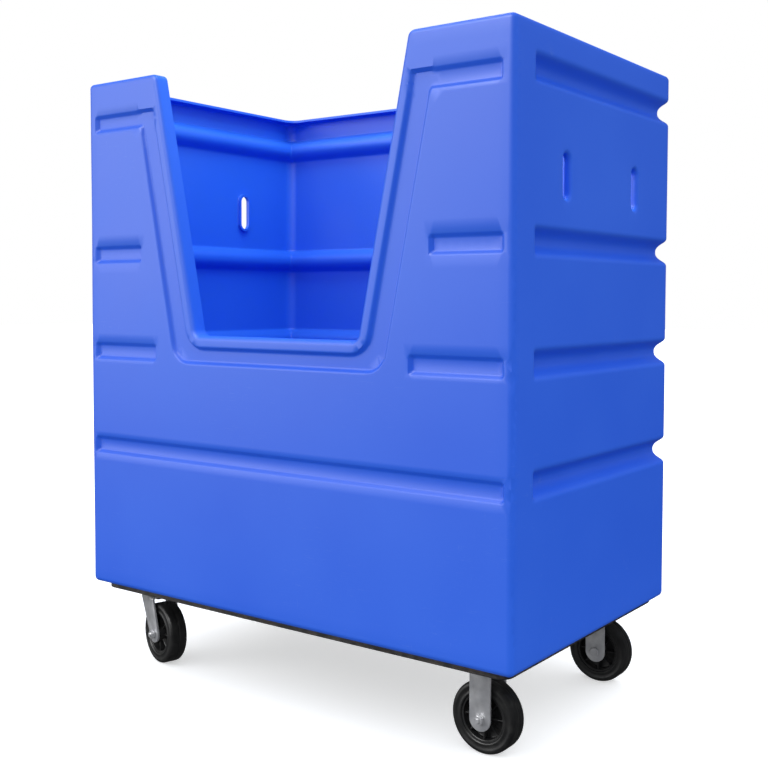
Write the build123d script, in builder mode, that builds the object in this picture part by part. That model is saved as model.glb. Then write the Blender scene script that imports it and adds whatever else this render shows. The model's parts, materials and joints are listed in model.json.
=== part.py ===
from build123d import *
import os
from collections import namedtuple
from math import cos, radians, sin

# A bulk laundry truck: a tall moulded polyethylene tub with a cut-away front, on a plywood
# deck with two fixed casters at one end and two swivel casters at the other.
# X runs along the truck, the access opening faces -Y, and the floor is at Z = 0.

# The tub, measured at its top
tub_length = 1280.0
tub_width = 800.0
tub_height = 1300.0
tub_draft = 11.0            # how far each wall leans out from bottom to top
wall = 6.4
corner_radius = 35.0
floor_edge_radius = 30.0
rim_bend = 25.0             # radius of the bend where the wall turns in to make the rim
rim_reach = 40.0            # how far the turned-in rim reaches from the outer face

# The access opening in the front wall, as distances down from the top
sill_drop = 650.0
opening_top_half = 384.0    # half its width at the top of the tub
opening_sill_half = 248.0   # half its width at the sill
sill_corner_radius = 30.0
post_corner_radius = 32.0

# Stiffening grooves round the ends and the back: centres, as distances down from the top
groove_drops = (92.0, 441.0, 689.0, 933.0)
groove_half_height = 28.5
groove_floor_half = 13.0
groove_depth = 27.0
groove_start_y = -312.0     # they stop short of the front corners
groove_floor_radius = 10.0

# Shallow pockets pressed in the front face: drop of the centre, and span either side
pocket_depth = 10.0
pocket_half_height = 20.0
pocket_outer_x = 611.0
post_pockets = ((108.0, 420.0), (447.0, 438.0), (695.0, 385.0))
belt_pocket_drop = 939.0
cut_clearance = 3.0         # cutting sketches stand this far off the face they cut
channel_inner = 28.0        # the channel that follows the opening starts this far from it
channel_side_outer = 81.0
channel_sill_outer = 67.0
channel_corner_radius = 42.0

# Hand slots in both ends
slot_width = 32.0
slot_height = 98.0
slot_drop = 300.0
slot_y = 174.0
slot_collar = 16.0          # depth of the wall turned in round each slot

# The deck under the tub
deck_thickness = 16.0
deck_inset = 25.0
deck_corner_radius = 28.0
deck_chamfer = 1.5
deck_bolt_x = (-330.0, 0.0, 330.0)
deck_bolt_y = 250.0

# Casters: places of their fixing centres, and the pieces they are made of
caster_height = 190.5
caster_x = 506.0
caster_y = 272.0
trail = 40.0                # wheel centre behind the kingpin on a swivel caster
plate_length, plate_width, plate_thickness = 120.0, 100.0, 6.0
plate_corner_radius = 8.0
bolt_spacing_x, bolt_spacing_y = 92.0, 67.0

wheel_radius = 76.2
wheel_width = 48.0
shoulder_radius = 9.0
core_radius = 52.0
rim_width = 42.0
rim_thickness = 5.0
web_thickness = 8.0
rib_width = 32.0
rib_thickness = 4.0
rib_count = 8
hub_radius = 19.0
hub_length = 54.0
bearing_radius = 14.0
sleeve_radius = 9.0
thrust_washer_radius = 15.0
thrust_washer_thickness = 1.7

fork_gap = 58.0             # between the legs of a fork
leg_thickness = 5.0
leg_width = 50.0
leg_end_radius = 22.0       # round lower end of a swivel yoke's leg
yoke_top_half = 31.0        # half the yoke's length at its top, along the rolling direction
fold_radius = 4.0
axle_radius = 6.0
axle_head_radius = 11.0
axle_head_height = 7.5
axle_nut_height = 10.0
axle_tail = 4.0

kingpin_radius = 7.0
kingpin_head_radius = 12.0
kingpin_head_height = 3.0
kingpin_nut_radius = 12.5
kingpin_nut_height = 8.0
ball_radius = 4.0
ball_pitch_radius = 25.0
ball_count = 18
crown_radius = 36.0
crown_thickness = 7.2
skirt_radius = 41.0
skirt_thickness = 2.5
skirt_height = 12.0

# Fasteners through the tub's floor and the deck
bolt_radius = 5.0
bolt_hole_radius = 5.25
bolt_head_radius = 11.0
bolt_head_height = 4.5
bolt_head_round = 3.5
washer_radius = 16.0
washer_thickness = 2.0
nut_radius = 9.8
nut_height = 8.0
bolt_tail = 3.0

# Fits
running_fit = 0.05          # radial, between a shaft and what turns on it
assembly_fit = 0.05         # radial, between pieces that are only slid together
free_gap = 0.3              # between faces that turn past each other

# Heights that follow
tub_bottom = caster_height + deck_thickness
tub_top = tub_bottom + tub_height
floor_top = tub_bottom + wall
plate_bottom = caster_height - plate_thickness
crown_top = plate_bottom - 2 * ball_radius - free_gap
yoke_top = crown_top - crown_thickness

Caster = namedtuple("Caster", "name x y heading out swivels")
casters = (
    Caster("right_front", caster_x, -caster_y, 0.0, 1, False),
    Caster("right_back", caster_x, caster_y, 0.0, -1, False),
    Caster("left_front", -caster_x, -caster_y, -15.0, 1, True),
    Caster("left_back", -caster_x, caster_y, 22.0, -1, True),
)

os.makedirs("parts", exist_ok=True)


def save(builder, name):
    """Label a finished piece and write its STEP file."""
    builder.part.label = name
    export_step(builder.part, f"parts/{name}.step")


# ---------------------------------------------------------------- the tub

def lean(drop):
    """How far a wall stands inside its top position, this far down from the top."""
    return tub_draft * drop / tub_height


def front_plane(inset):
    """The leaning front face: X along the truck, Y up the face from the tub's top."""
    slope = tub_draft / tub_height
    return Plane(origin=(0, -tub_width / 2 + inset, tub_top), x_dir=(1, 0, 0), z_dir=(0, -1, -slope))


def opening_half(drop):
    """Half the opening's width, this far down from the top."""
    return opening_top_half + (opening_sill_half - opening_top_half) * drop / sill_drop


def moulded_form(inset):
    """The tub's outside as a solid, or with an inset the space inside its wall."""
    bottom_length = tub_length - 2 * (tub_draft + inset)
    bottom_width = tub_width - 2 * (tub_draft + inset)
    form_top = tub_top - inset
    with BuildPart() as form:
        with BuildSketch(Plane.XY.offset(tub_bottom + inset)):
            RectangleRounded(bottom_length, bottom_width, corner_radius - inset)
        with BuildSketch(Plane.XY.offset(form_top)):
            RectangleRounded(tub_length - 2 * inset, tub_width - 2 * inset, corner_radius - inset)
        loft()
        fillet(form.faces().sort_by(Axis.Z)[0].edges(), radius=floor_edge_radius - inset)

        # The access opening, cut only as deep as the rim that turns in round it
        notch_back = -tub_width / 2 + rim_reach + (1 if inset == 0 else 0)
        with BuildSketch(Plane.XZ.offset(-notch_back)) as notch:
            with BuildLine():
                Polyline(
                    (-opening_half(-60), tub_top + 60),
                    (-opening_sill_half, tub_top - sill_drop),
                    (opening_sill_half, tub_top - sill_drop),
                    (opening_half(-60), tub_top + 60),
                    close=True,
                )
            make_face()
            if inset:
                offset(amount=inset, kind=Kind.INTERSECTION)
            fillet(notch.vertices().group_by(Axis.Y)[0], radius=sill_corner_radius + inset)
        extrude(amount=rim_reach + 20, mode=Mode.SUBTRACT)
        post_edges = (
            form.edges().filter_by(Axis.Y)
            .filter_by_position(Axis.Z, form_top - 0.1, form_top + 0.1)
            .filter_by_position(Axis.X, -450, 450)
        )
        fillet(post_edges, radius=post_corner_radius - inset)

        # The bend from the walls into the rim, all round the top and down round the opening
        front = form.faces().sort_by(Axis.Y)[0]
        outline = front.edges().filter_by(
            lambda e: e.center().Z > tub_top - sill_drop - 2 * wall and abs(e.center().X) < 590
        )
        round_top = form.edges().filter_by(
            lambda e: e.center().Z > form_top - 0.1
            and (abs(e.center().X) > 590 or e.center().Y > 0)
        )
        fillet(outline + round_top, radius=rim_bend - inset)

        # Hand slots, each with the wall turned in round it
        for side in (-1, 1):
            face_x = tub_length / 2 - lean(slot_drop)
            depth = slot_collar + (1 if inset == 0 else 0)
            with BuildSketch(Plane.YZ.offset(side * (face_x - depth))):
                with Locations((-slot_y, tub_top - slot_drop), (slot_y, tub_top - slot_drop)):
                    SlotOverall(slot_height + 2 * inset, slot_width + 2 * inset, rotation=90)
            extrude(amount=side * (depth + 20), mode=Mode.SUBTRACT)

        # Grooves round the right end, the back and the left end
        for drop in groove_drops:
            half_length = tub_length / 2 - lean(drop) - inset
            half_width = tub_width / 2 - lean(drop) - inset
            level = tub_top - drop
            start_y = groove_start_y - inset
            mouth = groove_half_height + 0.58 * inset
            bed = groove_floor_half + 0.58 * inset
            run_out = (mouth - bed) / groove_depth * 8
            with BuildLine(Plane.XY.offset(level)) as path:
                FilletPolyline(
                    (half_length, start_y),
                    (half_length, half_width),
                    (-half_length, half_width),
                    (-half_length, start_y),
                    radius=corner_radius - inset,
                )
            section_plane = Plane(origin=(half_length, start_y, level), x_dir=(-1, 0, 0), z_dir=(0, 1, 0))
            with BuildSketch(section_plane) as section:
                with BuildLine():
                    Polyline(
                        (-8, mouth + run_out), (groove_depth, bed), (groove_depth, -bed), (-8, -mouth - run_out),
                        close=True,
                    )
                make_face()
                fillet(section.vertices().sort_by(Axis.X)[-2:], radius=groove_floor_radius)
            sweep(path=path.line, mode=Mode.SUBTRACT)

        # The channel that follows the opening down both sides and under the sill
        half = pocket_half_height + inset / 2
        channel_top = post_pockets[0][0] - half
        outer_drop = sill_drop + channel_sill_outer + inset / 2
        inner_drop = sill_drop + channel_inner - inset / 2
        outer_margin = channel_side_outer + inset / 2
        inner_margin = channel_inner - inset / 2
        with BuildSketch(front_plane(inset - cut_clearance)) as channel:
            with BuildLine():
                Polyline(
                    (-opening_half(channel_top) - outer_margin, -channel_top),
                    (-opening_half(outer_drop) - outer_margin, -outer_drop),
                    (opening_half(outer_drop) + outer_margin, -outer_drop),
                    (opening_half(channel_top) + outer_margin, -channel_top),
                    close=True,
                )
            make_face()
            fillet(channel.vertices().group_by(Axis.Y)[0], radius=channel_corner_radius)
            with BuildLine():
                Polyline(
                    (-opening_half(0) - inner_margin, 0),
                    (-opening_half(inner_drop) - inner_margin, -inner_drop),
                    (opening_half(inner_drop) + inner_margin, -inner_drop),
                    (opening_half(0) + inner_margin, 0),
                    close=True,
                )
            make_face(mode=Mode.SUBTRACT)
        extrude(amount=-pocket_depth - cut_clearance, mode=Mode.SUBTRACT)

        # Pockets on the two posts, and one long pocket right across below the sill
        with BuildSketch(front_plane(inset - cut_clearance)):
            for drop, inner_x in post_pockets:
                reach = pocket_outer_x - inner_x + inset
                middle = (pocket_outer_x + inner_x) / 2
                with Locations((-middle, -drop), (middle, -drop)):
                    Rectangle(reach, 2 * half)
            with Locations((0, -belt_pocket_drop)):
                Rectangle(2 * pocket_outer_x + inset, 2 * half)
        extrude(amount=-pocket_depth - cut_clearance, mode=Mode.SUBTRACT)
    return form.part


def caster_bolt_places(caster):
    """Centres of the four bolts that hold one caster, in plan."""
    signs = ((-1, -1), (-1, 1), (1, -1), (1, 1))
    return [(caster.x + sx * bolt_spacing_x / 2, caster.y + sy * bolt_spacing_y / 2) for sx, sy in signs]


deck_bolt_places = [(x, y) for x in deck_bolt_x for y in (-deck_bolt_y, deck_bolt_y)]
all_bolt_places = deck_bolt_places + [place for c in casters for place in caster_bolt_places(c)]

outside = moulded_form(0)
hollow = moulded_form(wall)

with BuildPart() as tub:
    add(outside)
    add(hollow, mode=Mode.SUBTRACT)
    # The mouth, inside the rim
    with BuildSketch(Plane.XY.offset(tub_top - 2 * wall)):
        RectangleRounded(tub_length - 2 * rim_reach, tub_width - 2 * rim_reach, corner_radius)
    extrude(amount=3 * wall, mode=Mode.SUBTRACT)
    with BuildSketch(Plane.XY.offset(tub_bottom)):
        with Locations(*all_bolt_places):
            Circle(bolt_hole_radius)
    extrude(amount=2 * wall, mode=Mode.SUBTRACT)
save(tub, "tub")


# ---------------------------------------------------------------- the deck and what holds it

with BuildPart() as deck:
    margins = 2 * (tub_draft + deck_inset)
    with BuildSketch(Plane.XY.offset(caster_height)):
        RectangleRounded(tub_length - margins, tub_width - margins, deck_corner_radius)
        with Locations(*all_bolt_places):
            Circle(bolt_hole_radius, mode=Mode.SUBTRACT)
    extrude(amount=deck_thickness)
    chamfer(deck.faces().sort_by(Axis.Z)[0].outer_wire().edges(), length=deck_chamfer)
save(deck, "deck")


def make_fasteners(name, places, clamped_bottom):
    """Round-head bolts down through the tub's floor, washers under their heads, nuts below."""
    head_bottom = floor_top + washer_thickness
    bolt_end = clamped_bottom - nut_height - bolt_tail
    with BuildPart() as bolts:
        with BuildSketch(Plane.XY.offset(head_bottom)):
            with Locations(*places):
                Circle(bolt_head_radius)
        extrude(amount=bolt_head_height)
        fillet(bolts.edges().group_by(Axis.Z)[-1], radius=bolt_head_round)
        with BuildSketch(Plane.XY.offset(bolt_end)):
            with Locations(*places):
                Circle(bolt_radius)
        extrude(amount=head_bottom - bolt_end)
    save(bolts, f"{name}_bolts")

    with BuildPart() as washers:
        with BuildSketch(Plane.XY.offset(floor_top)):
            with Locations(*places):
                Circle(washer_radius)
                Circle(bolt_hole_radius, mode=Mode.SUBTRACT)
        extrude(amount=washer_thickness)
    save(washers, f"{name}_washers")

    with BuildPart() as nuts:
        with BuildSketch(Plane.XY.offset(clamped_bottom - nut_height)):
            with Locations(*places):
                RegularPolygon(nut_radius, 6)
                Circle(bolt_radius + assembly_fit, mode=Mode.SUBTRACT)
        extrude(amount=nut_height)
    save(nuts, f"{name}_nuts")


make_fasteners("deck", deck_bolt_places, caster_height)


# ---------------------------------------------------------------- planes that place a caster

def rolling(caster):
    """Unit vector the caster rolls along, from its kingpin towards its wheel."""
    return Vector(cos(radians(caster.heading)), sin(radians(caster.heading)), 0)


def axle_normal(caster):
    """Unit vector along the axle, towards the side of the truck where the axle nut sits."""
    along = rolling(caster)
    return Vector(along.Y, -along.X, 0) * caster.out


def wheel_centre(caster):
    """Centre of the caster's wheel."""
    behind = trail if caster.swivels else 0
    return Vector(caster.x, caster.y, wheel_radius) + rolling(caster) * behind


def level_plane(caster, height):
    """Level plane over the caster's fixing centre, square to the truck."""
    return Plane(origin=(caster.x, caster.y, height))


def side_plane(caster, out):
    """Upright plane at the wheel's centre, moved out along the axle, with its Y upwards."""
    normal = axle_normal(caster)
    origin = wheel_centre(caster) + normal * out
    return Plane(origin=origin, x_dir=Vector(0, 0, 1).cross(normal), z_dir=normal)


def cross_plane(caster, along):
    """Upright plane across the rolling direction, moved along it from the wheel's centre."""
    direction = rolling(caster)
    origin = wheel_centre(caster) + direction * along
    return Plane(origin=origin, x_dir=Vector(0, 0, 1).cross(direction), z_dir=direction)


# ---------------------------------------------------------------- wheels and axles

def make_wheel(caster):
    """Tyre, ribbed core and bearing of one wheel."""
    half = wheel_width / 2
    axle_line = Axis(wheel_centre(caster), axle_normal(caster))
    with BuildPart() as tyre:
        with BuildSketch(cross_plane(caster, 0)) as tread:
            depth = wheel_radius - core_radius - assembly_fit
            with Locations((0, wheel_radius - depth / 2)):
                Rectangle(2 * half, depth)
            fillet(tread.vertices().group_by(Axis.Y)[-1], radius=shoulder_radius)
            fillet(tread.vertices().group_by(Axis.Y)[0], radius=2)
        revolve(axis=axle_line)
    save(tyre, f"tyre_{caster.name}")

    rim_inside = core_radius - rim_thickness
    with BuildPart() as core:
        with BuildSketch(side_plane(caster, -rim_width / 2)):
            Circle(core_radius)
            Circle(rim_inside, mode=Mode.SUBTRACT)
        extrude(amount=rim_width)
        with BuildSketch(side_plane(caster, -web_thickness / 2)):
            Circle(core_radius - rim_thickness / 2)
        extrude(amount=web_thickness)
        with BuildSketch(side_plane(caster, -rib_width / 2)):
            with PolarLocations((hub_radius + rim_inside) / 2, rib_count):
                Rectangle(rim_inside - hub_radius + rim_thickness, rib_thickness)
        extrude(amount=rib_width)
        with BuildSketch(side_plane(caster, -hub_length / 2)):
            Circle(hub_radius)
        extrude(amount=hub_length)
        with BuildSketch(side_plane(caster, -hub_length / 2)):
            Circle(bearing_radius)
        extrude(amount=hub_length, mode=Mode.SUBTRACT)
    save(core, f"wheel_core_{caster.name}")

    with BuildPart() as bearing:
        with BuildSketch(side_plane(caster, -hub_length / 2)):
            Circle(bearing_radius - assembly_fit)
            Circle(sleeve_radius + running_fit, mode=Mode.SUBTRACT)
        extrude(amount=hub_length)
    save(bearing, f"wheel_bearing_{caster.name}")


def make_axle(caster):
    """Axle bolt and nut, the sleeve that the bearing runs on, and two thrust washers."""
    leg_face = fork_gap / 2 + leg_thickness
    with BuildPart() as axle_bolt:
        with BuildSketch(side_plane(caster, -leg_face - axle_head_height)):
            RegularPolygon(axle_head_radius, 6)
        extrude(amount=axle_head_height)
        with BuildSketch(side_plane(caster, -leg_face)):
            Circle(axle_radius)
        extrude(amount=2 * leg_face + axle_nut_height + axle_tail)
    save(axle_bolt, f"axle_bolt_{caster.name}")

    with BuildPart() as axle_nut:
        with BuildSketch(side_plane(caster, leg_face)):
            RegularPolygon(axle_head_radius, 6)
            Circle(axle_radius + assembly_fit, mode=Mode.SUBTRACT)
        extrude(amount=axle_nut_height)
    save(axle_nut, f"axle_nut_{caster.name}")

    with BuildPart() as sleeve:
        with BuildSketch(side_plane(caster, -fork_gap / 2)):
            Circle(sleeve_radius)
            Circle(axle_radius + assembly_fit, mode=Mode.SUBTRACT)
        extrude(amount=fork_gap)
    save(sleeve, f"axle_sleeve_{caster.name}")

    with BuildPart() as thrust_washers:
        for start in (-fork_gap / 2, fork_gap / 2 - thrust_washer_thickness):
            with BuildSketch(side_plane(caster, start)):
                Circle(thrust_washer_radius)
                Circle(sleeve_radius + assembly_fit, mode=Mode.SUBTRACT)
            extrude(amount=thrust_washer_thickness)
    save(thrust_washers, f"thrust_washers_{caster.name}")


# ---------------------------------------------------------------- forks and swivel heads

def channel_section(caster, start, top, lower_end):
    """Section of a folded steel channel, open downwards, across the rolling direction."""
    outer = fork_gap + 2 * leg_thickness
    height = top - wheel_radius + lower_end
    with BuildSketch(cross_plane(caster, start)) as channel:
        with Locations((0, height / 2 - lower_end)):
            Rectangle(outer, height)
        fillet(channel.vertices().group_by(Axis.Y)[-1], radius=fold_radius + leg_thickness)
        with Locations((0, height / 2 - lower_end - leg_thickness)):
            RectangleRounded(fork_gap, height, fold_radius, mode=Mode.SUBTRACT)
        with Locations((0, -lower_end)):
            Rectangle(fork_gap, 4 * fold_radius, mode=Mode.SUBTRACT)
    return channel.sketch


def make_rigid_fork(caster):
    """Fixed fork: a folded channel under its top plate."""
    leg_height = plate_bottom - wheel_radius
    with BuildPart() as fork:
        extrude(channel_section(caster, -leg_width / 2, plate_bottom, leg_width / 2), amount=leg_width)
        with BuildSketch(side_plane(caster, -fork_gap)):
            Circle(leg_width / 2)
            with Locations((0, leg_height / 2)):
                Rectangle(leg_width, leg_height)
            Circle(axle_radius + assembly_fit, mode=Mode.SUBTRACT)
        extrude(amount=2 * fork_gap, mode=Mode.INTERSECT)
        with BuildSketch(level_plane(caster, plate_bottom)):
            RectangleRounded(plate_length, plate_width, plate_corner_radius)
            with GridLocations(bolt_spacing_x, bolt_spacing_y, 2, 2):
                Circle(bolt_hole_radius, mode=Mode.SUBTRACT)
        extrude(amount=plate_thickness)
    save(fork, f"rigid_fork_{caster.name}")


def make_swivel_head(caster):
    """What stays still on a swivel caster: top plate with its skirt, kingpin, nut and balls."""
    with BuildPart() as top_plate:
        with BuildSketch(level_plane(caster, plate_bottom)):
            RectangleRounded(plate_length, plate_width, plate_corner_radius)
            with GridLocations(bolt_spacing_x, bolt_spacing_y, 2, 2):
                Circle(bolt_hole_radius, mode=Mode.SUBTRACT)
            Circle(kingpin_radius + assembly_fit, mode=Mode.SUBTRACT)
        extrude(amount=plate_thickness)
        with BuildSketch(level_plane(caster, caster_height)):
            Circle(kingpin_head_radius + assembly_fit)
        extrude(amount=-kingpin_head_height, mode=Mode.SUBTRACT)
        with BuildSketch(level_plane(caster, plate_bottom)):
            Circle(skirt_radius)
            Circle(skirt_radius - skirt_thickness, mode=Mode.SUBTRACT)
        extrude(amount=-skirt_height)
    save(top_plate, f"swivel_plate_{caster.name}")

    nut_top = yoke_top - leg_thickness - free_gap
    pin_end = nut_top - kingpin_nut_height - bolt_tail
    with BuildPart() as kingpin:
        with BuildSketch(level_plane(caster, caster_height - kingpin_head_height)):
            Circle(kingpin_head_radius)
        extrude(amount=kingpin_head_height)
        with BuildSketch(level_plane(caster, pin_end)):
            Circle(kingpin_radius)
        extrude(amount=caster_height - kingpin_head_height - pin_end)
    save(kingpin, f"kingpin_{caster.name}")

    with BuildPart() as kingpin_nut:
        with BuildSketch(level_plane(caster, nut_top - kingpin_nut_height)):
            RegularPolygon(kingpin_nut_radius, 6)
            Circle(kingpin_radius + assembly_fit, mode=Mode.SUBTRACT)
        extrude(amount=kingpin_nut_height)
    save(kingpin_nut, f"kingpin_nut_{caster.name}")

    with BuildPart() as ball_ring:
        with Locations(level_plane(caster, plate_bottom - ball_radius)):
            with PolarLocations(ball_pitch_radius, ball_count):
                Sphere(ball_radius)
    save(ball_ring, f"ball_ring_{caster.name}")


def make_yoke(caster):
    """The turning yoke of a swivel caster: a folded channel with slanted legs, under a round crown."""
    kingpin_x = -trail * caster.out
    leg_top = yoke_top - wheel_radius
    with BuildPart() as yoke:
        channel = channel_section(caster, -trail - yoke_top_half, yoke_top, leg_end_radius)
        extrude(channel, amount=2 * (trail + yoke_top_half))
        with BuildSketch(side_plane(caster, -fork_gap)):
            with BuildLine():
                CenterArc((0, 0), leg_end_radius, 0, 360)
                Polyline(
                    (kingpin_x - yoke_top_half, leg_top),
                    (kingpin_x + yoke_top_half, leg_top),
                    (kingpin_x + yoke_top_half, leg_top - leg_thickness),
                    (kingpin_x - yoke_top_half, leg_top - leg_thickness),
                    close=True,
                )
            make_hull()
            Circle(axle_radius + assembly_fit, mode=Mode.SUBTRACT)
        extrude(amount=2 * fork_gap, mode=Mode.INTERSECT)
        with BuildSketch(level_plane(caster, yoke_top - 1)):
            Circle(crown_radius)
        extrude(amount=crown_thickness + 1)
        with BuildSketch(level_plane(caster, yoke_top - 2 * leg_thickness)):
            Circle(kingpin_radius + running_fit)
        extrude(amount=2 * leg_thickness + 2 * crown_thickness, mode=Mode.SUBTRACT)
    save(yoke, f"swivel_yoke_{caster.name}")


for caster in casters:
    make_fasteners(f"caster_{caster.name}", caster_bolt_places(caster), plate_bottom)
    make_wheel(caster)
    make_axle(caster)
    if caster.swivels:
        make_swivel_head(caster)
        make_yoke(caster)
    else:
        make_rigid_fork(caster)
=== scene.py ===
"""Looks of a bulk laundry truck: moulded tub, plywood deck, fixed and swivel casters.

X runs along the truck, the access opening faces -Y and the floor is at Z = 0. Sizes are metres.
"""
import json
import logging
import math
from collections.abc import Iterable, Sequence
from dataclasses import dataclass, field
from enum import Enum

import bmesh
import bpy
from mathutils import Matrix, Vector, geometry, noise


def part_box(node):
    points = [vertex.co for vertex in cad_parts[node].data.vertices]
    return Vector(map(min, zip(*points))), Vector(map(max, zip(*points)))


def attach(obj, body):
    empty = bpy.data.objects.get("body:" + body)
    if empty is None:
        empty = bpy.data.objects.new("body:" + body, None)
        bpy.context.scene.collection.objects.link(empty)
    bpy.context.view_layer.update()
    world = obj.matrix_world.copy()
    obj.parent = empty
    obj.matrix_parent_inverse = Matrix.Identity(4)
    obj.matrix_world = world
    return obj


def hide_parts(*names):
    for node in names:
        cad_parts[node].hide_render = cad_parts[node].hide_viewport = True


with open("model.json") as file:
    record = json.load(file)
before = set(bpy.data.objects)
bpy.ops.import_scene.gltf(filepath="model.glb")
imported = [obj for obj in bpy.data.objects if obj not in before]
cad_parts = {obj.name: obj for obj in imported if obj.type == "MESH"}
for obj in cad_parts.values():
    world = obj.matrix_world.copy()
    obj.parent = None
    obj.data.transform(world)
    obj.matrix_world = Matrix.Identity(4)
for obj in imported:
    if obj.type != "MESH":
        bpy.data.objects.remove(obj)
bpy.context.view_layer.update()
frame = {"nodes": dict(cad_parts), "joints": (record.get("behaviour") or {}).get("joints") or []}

Builder = bmesh.types.BMesh
Vert = bmesh.types.BMVert
Mesh = bpy.types.Mesh
Piece = bpy.types.Object
Material = bpy.types.Material
Node = bpy.types.Node
NodeTree = bpy.types.NodeTree
Socket = bpy.types.NodeSocket
Point2 = tuple[float, float]
Triple = tuple[float, float, float]
EdgePoint = tuple[float, float, float, float]

MM = 0.001
TURN = 2 * math.pi
THREAD_PITCH = 1.5 * MM
AXIS_GAP = 0.2 * MM
SHEET_SHARP = 35.0
HARDWARE_SHARP = 30.0
UNMOVED = Matrix.Identity(4)
log = logging.getLogger("laundry_truck")


# ---------------------------------------------------------------- small mesh helpers

def new_object(name: str, mesh: Mesh) -> Piece:
    """Link a mesh into the scene as an object at the origin."""
    piece = bpy.data.objects.new(name, mesh)
    bpy.context.scene.collection.objects.link(piece)
    return piece


def mesh_from(builder: Builder, name: str) -> Mesh:
    """Write a bmesh out as a mesh and free it."""
    mesh = bpy.data.meshes.new(name)
    builder.to_mesh(mesh)
    builder.free()
    return mesh


def bake_modifiers(piece: Piece) -> Piece:
    """Replace a piece's mesh by its evaluated one and drop the modifiers."""
    graph = bpy.context.evaluated_depsgraph_get()
    graph.update()
    finished = bpy.data.meshes.new_from_object(piece.evaluated_get(graph))
    piece.modifiers.clear()
    piece.data = finished
    return piece


def shade(mesh: Mesh, degrees: float) -> None:
    """Smooth shading with a sharp edge wherever faces meet at more than this angle."""
    mesh.shade_smooth()
    mesh.set_sharp_from_angle(angle=math.radians(degrees))


def dress(piece: Piece, material: Material) -> None:
    """Give every face of a piece one material."""
    if not piece.data.materials:
        piece.data.materials.append(material)
    for index in range(len(piece.data.materials)):
        piece.data.materials[index] = material


def arc(centre: Point2, radius: float, start: float, end: float, steps: int) -> list[Point2]:
    """Points along an arc, angles in degrees, both ends included."""
    angles = [math.radians(start + (end - start) * i / steps) for i in range(steps + 1)]
    return [(centre[0] + radius * math.cos(a), centre[1] + radius * math.sin(a)) for a in angles]


def turned(name: str, profile: Sequence[Point2], segments: int, place: Matrix) -> Mesh:
    """Mesh turned about the local Z axis from a closed profile of (radius, height) points.

    Args:
        name: name of the mesh.
        profile: closed loop of points, all away from the axis.
        segments: how many steps go round the axis.
        place: matrix that puts the finished shape where it belongs.
    Returns:
        A closed mesh with its faces outwards.
    """
    builder = bmesh.new()
    rings = []
    for step in range(segments):
        angle = TURN * step / segments
        side, up = math.cos(angle), math.sin(angle)
        rings.append([builder.verts.new((r * side, r * up, z)) for r, z in profile])
    for step, ring in enumerate(rings):
        following = rings[(step + 1) % segments]
        for i in range(len(profile)):
            j = (i + 1) % len(profile)
            builder.faces.new((ring[i], following[i], following[j], ring[j]))
    bmesh.ops.recalc_face_normals(builder, faces=builder.faces)
    builder.transform(place)
    return mesh_from(builder, name)


def mirrored(upper: Sequence[Point2]) -> list[Point2]:
    """A profile's upper half and, below it, the same half turned over."""
    return [*upper, *((r, -z) for r, z in reversed(upper))]


def round_ways(count: int) -> list[Vector]:
    """Level directions evenly spaced round the Z axis."""
    angles = [TURN * k / count for k in range(count)]
    return [Vector((math.cos(a), math.sin(a), 0)) for a in angles]


def quarter_bend(radius: float, steps: int) -> list[Point2]:
    """Steps along a quarter bend, without its start, as (way ahead, way inward)."""
    angles = [math.pi / 2 * step / steps for step in range(1, steps + 1)]
    return [(radius * math.sin(a), radius * (1 - math.cos(a))) for a in angles]


def merged_copy(node: str, name: str) -> Piece:
    """A copy of a CAD node's mesh, its loose triangles joined up and its flats dissolved."""
    builder = bmesh.new()
    builder.from_mesh(frame["nodes"][node].data)
    bmesh.ops.remove_doubles(builder, verts=builder.verts, dist=0.004 * MM)
    bmesh.ops.dissolve_limit(
        builder, angle_limit=math.radians(0.4), verts=builder.verts, edges=builder.edges
    )
    return new_object(name, mesh_from(builder, name))


def ease_edges(piece: Piece, width: float) -> None:
    """Bevel a piece's sharp edges by a small width and leave it a plain mesh."""
    easing = piece.modifiers.new("eased_edges", "BEVEL")
    easing.width, easing.segments, easing.limit_method = width, 2, "ANGLE"
    easing.angle_limit, easing.use_clamp_overlap = math.radians(40), True
    bake_modifiers(piece)
    shade(piece.data, SHEET_SHARP)


def spread(start: float, end: float, pitch: float) -> list[float]:
    """Even steps from start to end, both included, no further apart than the pitch."""
    count = max(1, math.ceil(abs(end - start) / pitch - 1e-6))
    return [start + (end - start) * i / count for i in range(count + 1)]


def soft_max(a: float, b: float, blend: float) -> float:
    """The larger of two values, rounded over where they cross."""
    mix = max(blend - abs(a - b), 0.0) / blend
    return max(a, b) + mix * mix * blend / 4


def soft_min(a: float, b: float, blend: float) -> float:
    """The smaller of two values, rounded over where they cross."""
    return -soft_max(-a, -b, blend)


def rounded_corner(side: float, end: float, radius: float) -> float:
    """Signed distance to a corner between two edges, rounded to this radius."""
    over = math.hypot(max(side + radius, 0.0), max(end + radius, 0.0))
    return min(max(side + radius, end + radius), 0.0) + over - radius


# ---------------------------------------------------------------- shader helpers

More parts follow.
